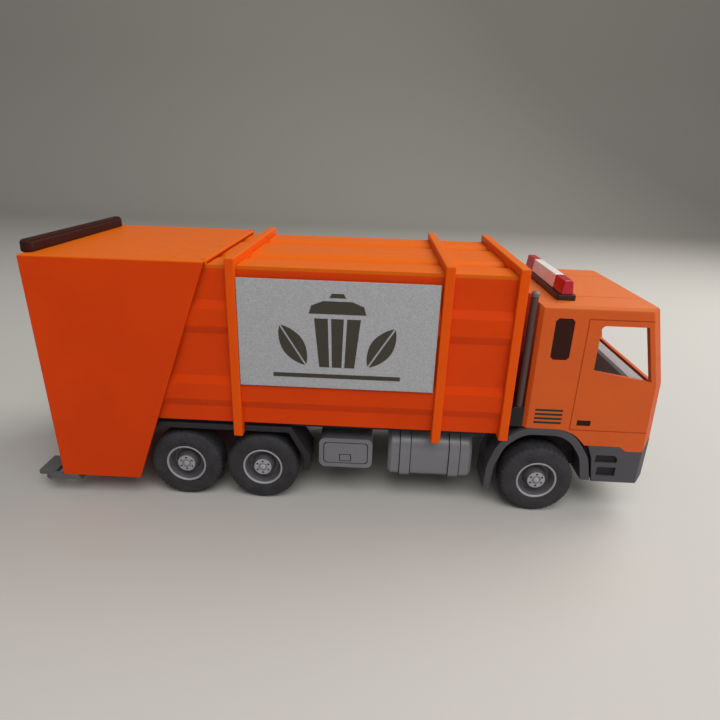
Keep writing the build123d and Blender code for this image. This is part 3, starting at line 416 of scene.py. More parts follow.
FINISHES = {finish.name: finish for finish in (
    Rubber("tyre_black", (0.022, 0.021, 0.024), (0.040, 0.038, 0.043)),
    # painted shade: the dish's grey is darker than the lip and hub disc (rim_bright) for the shade
    # in its hollow
    Plastic("rim_grey", (0.085, 0.083, 0.090)),
    Plastic("rim_bright", (0.33, 0.32, 0.34), gloss=0.34),
    Plastic("rim_hole", (0.012, 0.012, 0.014), gloss=0.7),
    # painted shade: near-black for the engine cover, the toolboxes' grooves, the bumper's recesses
    # and the plates under the body, where shade falls; also the real dark joint lines of the tank
    # straps
    Plastic("cover_black", (0.012, 0.010, 0.011), gloss=0.55, specular=0.3),
    Plastic("guard_black", (0.018, 0.016, 0.019), gloss=0.5, specular=0.3),
    Steel("axle_steel", (0.55, 0.55, 0.57)),
    Plastic("frame_grey", (0.060, 0.058, 0.066), gloss=0.5, specular=0.4),
    # painted sheen on the cab, painted highlight on its roof
    OrangePlastic("cab_orange", CAB_SHEEN_ORANGE, gloss=0.40, flow=SIDE_FLOW, specular=0.16,
                  lit_top=LIT_ROOF_ORANGE, lit_top_z=CAB_ROOF_Z),
    # painted glow on the ribs, painted highlight on their tops
    OrangePlastic("rib_orange", RIB_GLOW_ORANGE, lit_top=LIT_TOP_ORANGE, lit_top_z=RIB_TOP_Z),
    # painted highlight on the tops of the body and the tailgate
    OrangePlastic("body_orange", ORANGE, flow=SIDE_FLOW, flow_depth=0.03, lit_top=LIT_TOP_ORANGE,
                  lit_top_z=BODY_ROOF_Z),
    OrangePlastic("tail_orange", ORANGE, flow=SIDE_FLOW, flow_depth=0.03, lit_top=LIT_TOP_ORANGE,
                  lit_top_z=TAIL_ROOF_Z),
    OrangePlastic("bucket_orange", ORANGE),
    GrainedSheet("board_white", (0.31, 0.315, 0.335), (0.42, 0.425, 0.445)),
    Plastic("tank_silver", (0.18, 0.18, 0.195), gloss=0.32, grain_depth=0.0, flow_depth=0.015,
            metal=0.15),
    Plastic("lift_grey", (0.10, 0.095, 0.10), gloss=0.4),
    GrainedSheet("bar_brown", (0.024, 0.007, 0.005), (0.044, 0.013, 0.009), gloss=0.5, depth=0.03,
                 specular=0.08),
    Plastic("interior_grey", (0.32, 0.30, 0.30), gloss=0.6),
    Plastic("light_base_black", (0.014, 0.012, 0.013), gloss=0.35),
    Lens("lamp_red", (0.50, 0.006, 0.022)),
    Lens("lamp_clear", (0.94, 0.92, 0.90)),
    Plastic("stack_grey", (0.062, 0.038, 0.032), gloss=0.45),
    Plastic("cap_grey", (0.13, 0.11, 0.11), gloss=0.4),
    Plastic("emblem_olive", (0.035, 0.030, 0.020), gloss=0.55),
)}


# ---- bench


@dataclass(frozen=True)
class Rounding:
    """How the moulded edges of a solid are rounded, and the finish if it isn't the slot's own."""

    radius: float
    thin: float = 0.9  # width under which a face keeps its sharp edges
    steps: int = 3  # faces across the rounding
    bend: float = 25.0  # least angle of an edge in degrees
    finish: str = ""


class Bench:
    """Operator calls that the sub-assemblies share."""

    @staticmethod
    def clear() -> None:
        """Leaves edit mode and deselects everything."""
        active = bpy.context.view_layer.objects.active
        if active is not None and active.mode != "OBJECT":
            bpy.ops.object.mode_set(mode="OBJECT")
        bpy.ops.object.select_all(action="DESELECT")

    @staticmethod
    def pick(item: Piece) -> None:
        """Makes one object the only selected and active one.

        Args:
            item: the object.
        """
        Bench.clear()
        item.select_set(True)
        bpy.context.view_layer.objects.active = item

    @staticmethod
    def settle(item: Piece) -> None:
        """Applies an object's place, turn and scale to its mesh."""
        Bench.pick(item)
        bpy.ops.object.transform_apply(location=True, rotation=True, scale=True)

    @staticmethod
    def named(name: str) -> Piece:
        """Names the object just added and applies its place.

        Args:
            name: its name.

        Returns:
            The object.
        """
        item = bpy.context.active_object
        item.name = name
        Bench.settle(item)
        return item

    @staticmethod
    def copy(item: Piece, name: str) -> Piece:
        """Copies an object with its mesh.

        Args:
            item: the object.
            name: the copy's name.

        Returns:
            The copy.
        """
        twin = bpy.data.objects.new(name, item.data.copy())
        bpy.context.scene.collection.objects.link(twin)
        return twin

    @staticmethod
    def edit(item: Piece) -> None:
        """Enters edit mode with the whole mesh selected.

        Args:
            item: the object.
        """
        Bench.pick(item)
        bpy.ops.object.mode_set(mode="EDIT")
        bpy.ops.mesh.select_mode(type="VERT")
        bpy.ops.mesh.select_all(action="SELECT")

    @staticmethod
    def leave() -> None:
        """Goes back to object mode."""
        bpy.ops.object.mode_set(mode="OBJECT")

    @staticmethod
    def choose(item: Piece, test: Test) -> None:
        """Enters edit mode with some faces selected.

        Args:
            item: the object.
            test: takes a face's middle and normal and says whether it is wanted.
        """
        Bench.pick(item)
        bpy.ops.object.mode_set(mode="EDIT")
        bpy.ops.mesh.select_mode(type="FACE")
        bpy.ops.mesh.select_all(action="DESELECT")
        bpy.ops.object.mode_set(mode="OBJECT")
        for face in item.data.polygons:
            face.select = test(face.center, face.normal)
        bpy.ops.object.mode_set(mode="EDIT")

    @staticmethod
    def choose_edges(item: Piece, bend: float, thin: float) -> int:
        """Enters edit mode with the edges between broad faces selected.

        Args:
            item: the object.
            bend: least angle between the two faces, in radians.
            thin: width in metres under which a face's edges are left out.

        Returns:
            How many edges are selected.
        """
        Bench.pick(item)
        bpy.ops.object.mode_set(mode="EDIT")
        bpy.ops.mesh.select_mode(type="EDGE")
        bpy.ops.mesh.select_all(action="DESELECT")
        bpy.ops.object.mode_set(mode="OBJECT")
        mesh = item.data
        faces: list[tuple[float, Vector]] = []
        sides: dict[tuple[int, int], list[tuple[float, Vector]]] = {}
        for face in mesh.polygons:
            corners = [mesh.vertices[index].co for index in face.vertices]
            longest = max((b - a).length for a, b in zip(corners, corners[1:] + corners[:1]))
            faces.append((face.area / longest if longest else 0.0, face.normal.copy()))
            for key in face.edge_keys:
                sides.setdefault(key, []).append(faces[-1])
        count = 0
        for edge in mesh.edges:
            pair = sides.get(edge.key, [])
            if len(pair) == 2 and min(breadth for breadth, _ in pair) > thin:
                edge.select = pair[0][1].angle(pair[1][1], 0.0) > bend
                count += edge.select
        bpy.ops.object.mode_set(mode="EDIT")
        return count

    @staticmethod
    def round_edges(item: Piece, how: Rounding) -> None:
        """Rounds the edges between broad faces.

        Args:
            item: the object.
            how: the rounding.
        """
        if Bench.choose_edges(item, math.radians(how.bend), how.thin * MM):
            bpy.ops.mesh.bevel(offset=how.radius * MM, segments=how.steps, profile=0.5,
                               affect="EDGES", clamp_overlap=True)
        Bench.leave()

    @staticmethod
    def smooth(item: Piece, angle: float = SHADE_ANGLE) -> None:
        """Shades a piece smooth, its broad faces kept flat.

        Args:
            item: the piece.
            angle: bend in degrees from which an edge stays sharp.
        """
        Bench.pick(item)
        bpy.ops.object.shade_smooth_by_angle(angle=math.radians(angle))
        bpy.ops.object.modifier_add(type="WEIGHTED_NORMAL")
        item.modifiers[-1].keep_sharp = True
        bpy.ops.object.modifier_apply(modifier=item.modifiers[-1].name)

    @staticmethod
    def pair(item: Piece, angle: float = SHADE_ANGLE, merge: float = 0.0) -> None:
        """Adds a piece's like on the truck's other side to its mesh and shades both.

        Args:
            item: the piece.
            angle: bend in degrees from which an edge stays sharp.
            merge: distance in metres within which corners are merged, or 0.
        """
        Bench.pick(item)
        bpy.ops.object.modifier_add(type="MIRROR")
        item.modifiers[-1].use_axis = (False, True, False)
        item.modifiers[-1].use_mirror_merge = False
        bpy.ops.object.modifier_apply(modifier=item.modifiers[-1].name)
        Bench.edit(item)
        if merge:
            bpy.ops.mesh.remove_doubles(threshold=merge)
        bpy.ops.mesh.normals_make_consistent(inside=False)
        Bench.leave()
        Bench.smooth(item, angle)

    @staticmethod
    def turned(name: str, centre: tuple[float, float], sides: int, rings: Sequence[Ring],
               shut: bool = False) -> Piece:
        """Shell turned about a line along Y.

        Args:
            name: the piece's name.
            centre: X and Z of the line, in metres.
            sides: faces round it.
            rings: how far out to the right, and the radius, of each ring.
            shut: whether the first ring is closed by a face.

        Returns:
            The object.
        """
        Bench.clear()
        out, radius = rings[0]
        bpy.ops.mesh.primitive_circle_add(
            vertices=sides, radius=radius * MM, fill_type="NOTHING",
            location=(centre[0], -out * MM, centre[1]), rotation=(math.pi / 2, 0.0, 0.0))
        item = Bench.named(name)
        Bench.edit(item)
        for next_out, next_radius in rings[1:]:
            bpy.ops.mesh.extrude_region_move(
                TRANSFORM_OT_translate={"value": (0.0, (out - next_out) * MM, 0.0)})
            share = next_radius / radius
            bpy.ops.transform.resize(value=(share, 1.0, share),
                                     center_override=(centre[0], -next_out * MM, centre[1]))
            out, radius = next_out, next_radius
        bpy.ops.mesh.select_all(action="SELECT")
        bpy.ops.mesh.remove_doubles(threshold=2e-6)
        if shut:
            bpy.ops.mesh.select_all(action="DESELECT")
            bpy.ops.mesh.select_non_manifold()
            bpy.ops.mesh.edge_face_add()
            bpy.ops.mesh.select_all(action="SELECT")
        bpy.ops.mesh.normals_make_consistent(inside=False)
        Bench.leave()
        return item

    @staticmethod
    def slice(item: Piece, low: float, high: float) -> None:
        """Keeps what lies between two planes across the truck and closes it.

        Args:
            item: the piece.
            low: X of the rear plane, in metres.
            high: X of the front plane, in metres.
        """
        for place, way in ((low, -1.0), (high, 1.0)):
            Bench.edit(item)
            bpy.ops.mesh.bisect(plane_co=(place, 0.0, 0.0), plane_no=(way, 0.0, 0.0),
                                use_fill=True, clear_outer=True)
            Bench.leave()

    @staticmethod
    def cut(item: Piece, tool: Piece) -> None:
        """Cuts a tool's shape out of a piece and removes the tool.

        Args:
            item: the piece.
            tool: the object that is cut out of it.
        """
        Bench.pick(item)
        bpy.ops.object.modifier_add(type="BOOLEAN")
        item.modifiers[-1].operation = "DIFFERENCE"
        item.modifiers[-1].object = tool
        bpy.ops.object.modifier_apply(modifier=item.modifiers[-1].name)
        bpy.data.objects.remove(tool)

    @staticmethod
    def block(name: str, low: Sequence[float], high: Sequence[float]) -> Piece:
        """Plain block, the start of a piece.

        Args:
            name: its name.
            low: its corner with the lowest X, Y and Z.
            high: its opposite corner.

        Returns:
            The block.
        """
        Bench.clear()
        middle = [(a + b) / 2 * MM for a, b in zip(low, high)]
        bpy.ops.mesh.primitive_cube_add(size=1.0, location=middle)
        bpy.context.active_object.scale = [abs(b - a) * MM for a, b in zip(low, high)]
        return Bench.named(name)

    @staticmethod
    def join(items: Sequence[Piece], name: str) -> Piece:
        """Joins some objects into one.

        Args:
            items: the objects.
            name: name of the whole.

        Returns:
            The whole.
        """
        Bench.clear()
        for item in items:
            item.select_set(True)
        bpy.context.view_layer.objects.active = items[0]
        bpy.ops.object.join()
        items[0].name = name
        return items[0]


# ---- workshop


@dataclass
class Workshop:
    """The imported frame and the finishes, shared by the sub-assemblies."""

    frame: dict
    made: dict[str, Material] = field(default_factory=dict)

    def finish(self, name: str) -> Material:
        """Material of a finish, made when it is first asked for.

        Args:
            name: the finish's name.

        Returns:
            Its material.
        """
        if name not in self.made:
            self.made[name] = FINISHES[name].material()
        return self.made[name]

    def dress(self, item: Piece, finish: str, slot: str, body: str) -> None:
        """Gives a piece its finish and the body it rides on.

        Args:
            item: the piece.
            finish: name of its finish.
            slot: not used.
            body: name of the body that carries it.
        """
        item.data.materials.clear()
        item.data.materials.append(self.finish(finish))
        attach(item, body)
        LOG.info("%s: %d faces on %s", item.name, len(item.data.polygons), body)

    def paint_shade(self, item: Piece, finish: str, test: Test) -> None:
        """Gives some faces of a piece a second finish, used to paint shade into grooves and
        recesses.

        Args:
            item: the piece.
            finish: name of the second finish.
            test: takes a face's middle and normal and says whether it gets it.
        """
        item.data.materials.append(self.finish(finish))
        Bench.choose(item, test)
        item.active_material_index = len(item.data.materials) - 1
        bpy.ops.object.material_slot_assign()
        Bench.leave()

    def slot_of(self, node: str) -> str:
        """Name of the slot that a solid has in the record."""
        return self.frame["nodes"][node].data.materials[0].name.split(".")[0]

    def carry(self, node: str) -> None:
        """Keeps a solid's shape and gives it its finish.

        Args:
            node: the solid's name.
        """
        item = self.frame["nodes"][node]
        item.material_slots[0].material = self.finish(self.slot_of(node))
        LOG.info("%s: kept", node)

    def soften(self, node: str, rounding: Rounding) -> Piece:
        """Copy of a solid with rounded edges, which stands for it.

        Args:
            node: the solid's name.
            rounding: how its edges are rounded.

        Returns:
            The new piece, dressed and riding where the solid did.
        """
        source = self.frame["nodes"][node]
        slot = self.slot_of(node)
        item = Bench.copy(source, f"{node}_moulded")
        Bench.pick(item)
        bpy.ops.mesh.customdata_custom_splitnormals_clear()
        Bench.edit(item)
        bpy.ops.mesh.remove_doubles(threshold=MERGE)
        bpy.ops.mesh.dissolve_limited(angle_limit=FLAT_BEND)
        Bench.leave()
        Bench.round_edges(item, rounding)
        Bench.smooth(item)
        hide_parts(node)
        self.dress(item, rounding.finish or slot, slot, source["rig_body"])
        return item


@dataclass
class Assembly:
    """Sub-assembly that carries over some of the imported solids."""

    shop: Workshop
    kept: Sequence[str] = ()
    rounded: dict[str, Rounding] = field(default_factory=dict)
    pieces: dict[str, Piece] = field(default_factory=dict)

    def build(self) -> None:
        """Carries the solids over, then adds what is modelled here."""
        for node in self.kept:
            self.shop.carry(node)
        for node, rounding in self.rounded.items():
            self.pieces[node] = self.shop.soften(node, rounding)
        self.add()

    def add(self) -> None:
        """Adds the pieces that the solids leave out."""


class Side(Enum):
    """Side of the truck, as the sign of Y."""

    RIGHT = -1
    LEFT = 1


# ---- wheels


@dataclass
class Wheels(Assembly):
    """Three pairs of wheels, all alike: tyres with a lugged shoulder, rims with a deep dish."""

    kept: Sequence[str] = ("front_axle", "middle_axle", "rear_axle")
    lines: dict[str, float] = field(
        default_factory=lambda: {"front": 110.0, "middle": -41.8, "rear": -84.9})
    height: float = 20.0
    lugs: int = 42
    lug_faces: int = 3  # faces from one lug to the next, the first one a groove
    tyre: Sequence[Ring] = (
        (37.5, 11.5), (37.3, 13.0), (37.3, 17.0), (37.9, 18.9), (39.0, 19.8), (40.5, 20.0),
        (48.4, 20.0), (50.0, 19.75), (50.9, 19.1), (51.35, 18.2), (51.75, 16.2), (51.8, 14.6),
        (51.55, 13.0), (51.3, 11.8), (51.1, 11.05), (50.6, 10.95), (37.5, 11.5))
    tyre_middle: float = 44.65
    tyre_bend: float = 50.0  # degrees
    groove_out: tuple[float, float] = (48.4, 51.4)
    groove_root: float = 17.4
    groove_depth: float = 0.3
    rim_sides: int = 72
    dish: Sequence[Ring] = (
        (38.2, 5.5), (38.2, 8.3), (37.6, 9.0), (37.6, 11.3), (50.6, 10.9), (50.65, 10.2),
        (46.3, 8.0), (46.3, 6.8), (50.5, 4.75), (49.6, 4.5), (49.6, 0.0))
    lip_sides: int = 96
    lip: Sequence[Ring] = (
        (50.4, 10.95), (51.05, 11.03), (51.3, 10.85), (51.35, 10.55), (51.2, 10.2), (50.9, 9.97),
        (50.4, 10.05), (50.4, 10.95))
    hub_sides: int = 48
    hub: Sequence[Ring] = (
        (50.2, 4.6), (50.5, 4.8), (50.9, 4.8), (51.0, 4.65), (51.0, 2.5), (50.25, 2.35),
        (50.25, 1.8), (51.2, 1.6), (51.5, 1.3), (51.62, 0.8), (51.66, 0.0))
    bolts: int = 6
    bolt_sides: int = 12
    bolt_ring: float = 3.5
    bolt_radius: float = 0.68
    bolt_out: float = 51.0
    bolt_length: float = 2.4
    merge: float = 1e-7  # metres
    hair: float = 1e-4  # keeps a face's middle clear of the count's own rounding

    def centre(self) -> tuple[float, float]:
        """X and Z of the front wheels' line, in metres."""
        return self.lines["front"] * MM, self.height * MM

    def tread(self, spot: Vector, normal: Vector) -> bool:
        """Whether a face of the tyre lies in a groove between two lugs.

        Args:
            spot: the face's middle.
            normal: its direction, which isn't needed.

        Returns:
            True for one face in three along the outer shoulder and its like on the inner one.
        """
        x, z = self.centre()
        turn = (math.atan2(spot.z - z, spot.x - x) / math.tau) % 1.0
        face = int(turn * self.lugs * self.lug_faces + self.hair)
        far = math.hypot(spot.x - x, spot.z - z) / MM
        low, high = (place - self.tyre_middle for place in self.groove_out)
        return (face % self.lug_faces == 0 and far > self.groove_root
                and low < abs(-spot.y / MM - self.tyre_middle) < high)

    def tyre_shell(self) -> Piece:
        """Models the right front tyre with its grooves.

        Returns:
            The tyre.
        """
        x, z = self.centre()
        sides = self.lugs * self.lug_faces
        item = Bench.turned("front_tyre_pair", (x, z), sides, self.tyre)
        Bench.choose(item, self.tread)
        share = 1.0 - self.groove_depth / self.height
        bpy.ops.mesh.extrude_region_move(TRANSFORM_OT_translate={"value": (0.0, 0.0, 0.0)})
        bpy.ops.transform.resize(value=(share, 1.0, share), center_override=(x, 0.0, z))
        Bench.leave()
        return item

    def dish_shell(self) -> Piece:
        """Right front rim with its deep dish."""
        return Bench.turned("front_rim_pair", self.centre(), self.rim_sides, self.dish, shut=True)

    def hub_disc(self) -> Piece:
        """Models the right front wheel's bright rim lip and its drilled hub disc with its cap.

        Returns:
            Both in one piece.
        """
        x, z = self.centre()
        hub = Bench.turned("hub", (x, z), self.hub_sides, self.hub, shut=True)
        drills = []
        for index in range(self.bolts):
            turn = math.tau * (index + 0.5) / self.bolts
            Bench.clear()
            bpy.ops.mesh.primitive_cylinder_add(
                vertices=self.bolt_sides, radius=self.bolt_radius * MM,
                depth=self.bolt_length * MM,
                location=(x + self.bolt_ring * MM * math.cos(turn), -self.bolt_out * MM,
                          z + self.bolt_ring * MM * math.sin(turn)),
                rotation=(math.pi / 2, 0.0, 0.0))
            drills.append(Bench.named(f"drill_{index}"))
        Bench.cut(hub, Bench.join(drills, "drill"))
        lip = Bench.turned("lip", (x, z), self.lip_sides, self.lip)
        return Bench.join([hub, lip], "front_hub_pair")

    def add(self) -> None:
        """Models one pair of wheels and copies it to the other two lines."""
        x = self.lines["front"]
        # painted shade: the dish gets the darker rim_grey, the lip and hub disc the rim's lighter
        # grey
        wheel = ((self.tyre_shell(), self.tyre_bend, "tyres", "tyre_black", "tyre_black"),
                 (self.dish_shell(), SHADE_ANGLE, "rims", "rim_grey", "rim_grey"),
                 (self.hub_disc(), SHADE_ANGLE, "rims", "rim_bright", "rim_grey"))
        for first, bend, node, finish, slot in wheel:
            Bench.pair(first, bend, self.merge)
            for line, place in self.lines.items():
                name = first.name.replace("front", line)
                item = first if line == "front" else Bench.copy(first, name)
                if line != "front":
                    item.location.x = (place - x) * MM
                    Bench.settle(item)
                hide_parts(f"{line}_{node}")
                self.shop.dress(item, finish, slot, f"{line}_wheels")


# ---- cab and chassis


@dataclass
class Chassis(Assembly):
    """Frame, bumper, fenders, mudguards, tanks and boxes."""

    rounded: dict[str, Rounding] = field(default_factory=lambda: {
        "chassis_frame": Rounding(0.25, 0.8, 2), "front_bumper": Rounding(0.6, 1.4),
        "front_fenders": Rounding(0.4, 1.0),
        "rear_mudguards": Rounding(0.35, 0.9, finish="guard_black"),
        # painted shade: the engine cover is made near-black for the shade it stands in
        "engine_cover": Rounding(0.5, 1.2, finish="cover_black"), "fuel_tanks": Rounding(0.4, 1.6),
        "toolboxes": Rounding(0.45, 1.2)})
    box_face: float = 47.0
    box_groove: float = 0.4
    box_tolerance: float = 0.12
    bumper_face: float = 47.5
    bumper_recess: float = 1.3
    bumper_tolerance: float = 0.3
    # painted shade: dark plates in the front wheel arches, behind the bumper and under the body
    arch_wall: Sequence[float] = (84.0, 138.0, 35.0, 36.4, 23.0, 48.4)
    gap_shade_plate: Sequence[float] = (139.4, 143.6, 42.6, 44.0, 19.3, 46.0)
    gap_lean: float = -6.2
    strap_edges: Sequence[float] = (34.3, 40.3, 61.5, 67.5)
    strap_line: float = 0.35
    strap_line_proud: float = 0.12
    underpan: Sequence[float] = (-100.0, 80.0, 21.0, 50.0, 46.3, 48.6)
    plate_edge: Rounding = Rounding(0.2, 0.3, 2)

    def facing_out(self, face: float, tolerance: float) -> Test:
        """Test for faces that look straight out at a distance from the truck's middle.

        Args:
            face: the distance.
            tolerance: how far off it a face may be.

        Returns:
            The test.
        """
        def test(spot: Vector, normal: Vector) -> bool:
            """Whether a face looks out at that distance."""
            return (normal.y * spot.y > 0.9 * abs(spot.y)
                    and abs(abs(spot.y) / MM - face) < tolerance)
        return test

    def plate(self, name: str, sizes: Sequence[float], lean: float = 0.0) -> None:
        """Pair of dark plates under the body, one each side: painted shade, put where shade falls.

        Args:
            name: the pair's name.
            sizes: low and high X, distance out, and Z.
            lean: how far its top leans forward.
        """
        x0, x1, y0, y1, z0, z1 = sizes
        item = Bench.block(name, (x0, -y1, z0), (x1, -y0, z1))
        if lean:
            Bench.choose(item, lambda spot, normal: normal.z > 0.9)
            bpy.ops.transform.translate(value=(lean * MM, 0.0, 0.0))
            Bench.leave()
        Bench.round_edges(item, self.plate_edge)
        Bench.pair(item)
        self.shop.dress(item, "cover_black", "frame_grey", "truck")

    def strap_lines(self) -> None:
        """Dark joint lines round both tanks along the edges of their straps."""
        lines = []
        for edge in self.strap_edges:
            item = Bench.copy(self.pieces["fuel_tanks"], f"strap_line_{len(lines)}")
            Bench.pick(item)
            bpy.ops.mesh.customdata_custom_splitnormals_clear()
            half = self.strap_line / 2
            Bench.slice(item, (edge - half) * MM, (edge + half) * MM)
            Bench.edit(item)
            bpy.ops.transform.shrink_fatten(value=self.strap_line_proud * MM)
            Bench.leave()
            lines.append(item)
        item = Bench.join(lines, "tank_strap_lines")
        Bench.smooth(item)
        self.shop.dress(item, "cover_black", "frame_grey", "truck")

    def add(self) -> None:
        """Paints shade into the toolboxes' grooves and the bumper's recesses, adds the tanks' dark
        strap joint lines, and adds the dark plates, painted shade, that close the view.
        """
        grooves = self.facing_out(self.box_face - self.box_groove, self.box_tolerance)
        recesses = self.facing_out(self.bumper_face - self.bumper_recess, self.bumper_tolerance)
        self.shop.paint_shade(self.pieces["toolboxes"], "cover_black", grooves)
        self.shop.paint_shade(self.pieces["front_bumper"], "cover_black", recesses)
        self.strap_lines()
        self.plate("arch_wall_pair", self.arch_wall)
        self.plate("bumper_gap_pair", self.gap_shade_plate, self.gap_lean)
        self.plate("body_underpan_pair", self.underpan)


@dataclass
class Cab(Assembly):
    """Tilting cab's shell with its dash, handles, rear quarter panels, grille and headlamps."""

    kept: Sequence[str] = ("cab_interior",)
    rounded: dict[str, Rounding] = field(default_factory=lambda: {
        # the shell takes the cab's paler orange, a painted sheen
        "cab_shell": Rounding(0.5, 1.2, finish="cab_orange"),
        "door_handles": Rounding(0.25, 0.7, 2), "quarter_panels": Rounding(0.3, 0.9, 2),
        "front_grille": Rounding(0.2, 0.7, 2), "headlamps": Rounding(0.3, 0.8, 2)})
    louvre_x: tuple[float, float] = (104.6, 119.0)
    louvre_z: float = 54.0
    louvre_pitch: float = 2.43
    louvre_height: float = 1.4
    louvre_floor: float = 47.41
    louvre_out: float = 0.12  # how far a slot's filling stands out of its floor
    louvre_in: float = 0.3
    louvre_edge: Rounding = Rounding(0.12, 0.3, 2)
    louvres: int = 4

    def add(self) -> None:
        """Dark slots of the louvres behind the doors, on both sides."""
        slots = []
        for index in range(self.louvres):
            z = self.louvre_z + index * self.louvre_pitch
            low, high = z - self.louvre_height / 2, z + self.louvre_height / 2
            slot = Bench.block(f"louvre_{index}",
                               (self.louvre_x[0], -self.louvre_floor - self.louvre_out, low),
                               (self.louvre_x[1], -self.louvre_floor + self.louvre_in, high))
            Bench.round_edges(slot, self.louvre_edge)
            slots.append(slot)
        item = Bench.join(slots, "louvre_slots")
        Bench.pair(item)
        self.shop.dress(item, "rim_hole", "light_base_black", "truck")


@dataclass
class LightBar(Assembly):
    """Roof bar: black base, clear middle and red ends."""

    rounded: dict[str, Rounding] = field(default_factory=lambda: {
        "light_bar_base": Rounding(0.3, 0.9, 2), "light_bar_clear": Rounding(0.6, 1.2, 4),
        "light_bar_red": Rounding(0.7, 1.2, 4)})


@dataclass
class Exhaust(Assembly):
    """Upright pipe behind the cab with its cap."""

    rounded: dict[str, Rounding] = field(default_factory=lambda: {
        "exhaust_stack": Rounding(0.3, 0.5, 2, 50.0), "exhaust_cap": Rounding(0.5, 0.5, 3, 50.0)})


# ---- load body


@dataclass
class LoadBody(Assembly):
    """Load body with its three ribs and the hinge rod of the tailgate."""

    kept: Sequence[str] = ("hinge_rod",)
    rounded: dict[str, Rounding] = field(default_factory=lambda: {
        "load_body": Rounding(0.3, 1.0, 2, 10.0),
        # the ribs take the lighter orange, a painted glow
        **{f"{place}_rib": Rounding(0.6, 1.2, finish="rib_orange")
           for place in ("front", "middle", "rear")}})


@dataclass
class SignBoards(Assembly):
    """White boards on the body's sides with a plain picture of a wheeled bin and two leaves."""

    rounded: dict[str, Rounding] = field(
        default_factory=lambda: {"sign_boards": Rounding(0.25, 0.8, 2)})
    face: float = 55.2
    middle: tuple[float, float] = (-1.0, 99.6)
    relief: float = 0.12
    scale: float = 1.2
    leaf_lean: float = 58.0  # degrees
    leaf_half: float = 10.0  # half its length
    leaf_breadth: float = 4.4
    leaf_fullness: float = 0.8  # under 1 for blunt ends, over 1 for slim ones
    leaf_steps: int = 12
    leaf_middle: tuple[float, float] = (18.5, -4.0)
    vein: float = 0.35
    outlines: dict[str, Sequence[tuple[float, float]]] = field(default_factory=lambda: {
        "tub_left": ((-9.6, 8.0), (-4.0, 8.0), (-3.2, -13.4), (-7.4, -13.4)),
        "tub_middle": ((-2.6, 8.0), (2.6, 8.0), (2.0, -13.4), (-2.0, -13.4)),
        "tub_right": ((4.0, 8.0), (9.6, 8.0), (7.4, -13.4), (3.2, -13.4)),
        "lid": ((-11.8, 10.0), (-10.8, 13.4), (-6.0, 15.4), (6.0, 15.4), (10.8, 13.4),
                (11.8, 10.0)),
        "grip": ((-3.4, 16.8), (3.4, 16.8), (2.4, 18.6), (-2.4, 18.6)),
        "ground": ((-27.0, -16.6), (27.0, -16.6), (27.0, -18.4), (-27.0, -18.4))})

    def flat(self, name: str, outline: Sequence[tuple[float, float]]) -> Piece:
        """Thin plate of an outline, standing on the right board.

        Args:
            name: the plate's name.
            outline: its corners from the picture's middle.

        Returns:
            The plate.
        """
        curve = bpy.data.curves.new(name, "CURVE")
        curve.dimensions = "2D"
        curve.fill_mode = "BOTH"
        curve.extrude = self.relief * MM
        line = curve.splines.new("POLY")
        line.points.add(len(outline) - 1)
        for point, (x, z) in zip(line.points, outline):
            point.co = (x * self.scale * MM, z * self.scale * MM, 0.0, 1.0)
        line.use_cyclic_u = True
        item = bpy.data.objects.new(name, curve)
        bpy.context.scene.collection.objects.link(item)
        Bench.pick(item)
        bpy.ops.object.convert(target="MESH")
        item = bpy.context.active_object
        item.rotation_euler = (math.pi / 2, 0.0, 0.0)
        item.location = (self.middle[0] * MM, -self.face * MM, self.middle[1] * MM)
        Bench.settle(item)
        Bench.edit(item)
        bpy.ops.mesh.remove_doubles(threshold=MERGE)
        bpy.ops.mesh.normals_make_consistent(inside=False)
        Bench.leave()
        return item

    def leaf(self, side: Side, half: Side) -> Sequence[tuple[float, float]]:
        """Outline of one half of a pointed leaf that leans out beside the bin.

        Args:
            side: which side of the bin the leaf stands on.
            half: which half of the leaf, left or right of its vein.

        Returns:
            Its corners from the picture's middle.
        """
        lean = math.radians(self.leaf_lean)
        corners = []
        for index in range(1, self.leaf_steps):
            share = index / self.leaf_steps
            belly = self.leaf_breadth * math.sin(math.pi * share) ** self.leaf_fullness
            corners.append((2 * self.leaf_half * share - self.leaf_half,
                            half.value * (self.vein + belly)))
        corners += [(self.leaf_half, half.value * self.vein),
                    (-self.leaf_half, half.value * self.vein)]
        x, z = self.leaf_middle
        return [(side.value * (x + along * math.cos(lean) - wide * math.sin(lean)),
                 z + along * math.sin(lean) + wide * math.cos(lean))
                for along, wide in corners]

    def add(self) -> None:
        """Picture on the right board and, turned round, on the left one."""
        plates = [self.flat(name, outline) for name, outline in self.outlines.items()]
        plates += [self.flat(f"leaf_{side.value}_{half.value}", self.leaf(side, half))
                   for side in Side for half in Side]
        right = Bench.join(plates, "bin_picture_right")
        left = Bench.copy(right, "bin_picture_left")
        left.rotation_euler.z = math.pi
        left.location.x = 2 * self.middle[0] * MM
        Bench.settle(left)
        for item in (right, left):
            self.shop.dress(item, "emblem_olive", "board_white", "truck")


# ---- tailgate


@dataclass
class Tailgate(Assembly):
    """Lifting tailgate: hopper shell, bucket, sill, stop bar, and the bin lift's arms."""

    rounded: dict[str, Rounding] = field(default_factory=lambda: {
        "hopper_shell": Rounding(1.2, 1.9, 4, finish="tail_orange"),
        "hopper_bucket": Rounding(0.5, 1.4),
        "loading_sill": Rounding(0.4, 1.0, 2), "bin_stop_bar": Rounding(1.6, 2.0, 4),
        "lift_forks": Rounding(0.35, 0.9, 2)})


# ---- studio


@dataclass(frozen=True)
class Lamp:
    """Soft square lamp: its place and side in metres, its power in watts and its colour."""

    name: str
    place: Sequence[float]
    side: float
    power: float
    colour: Colour = (1.0, 1.0, 1.0)


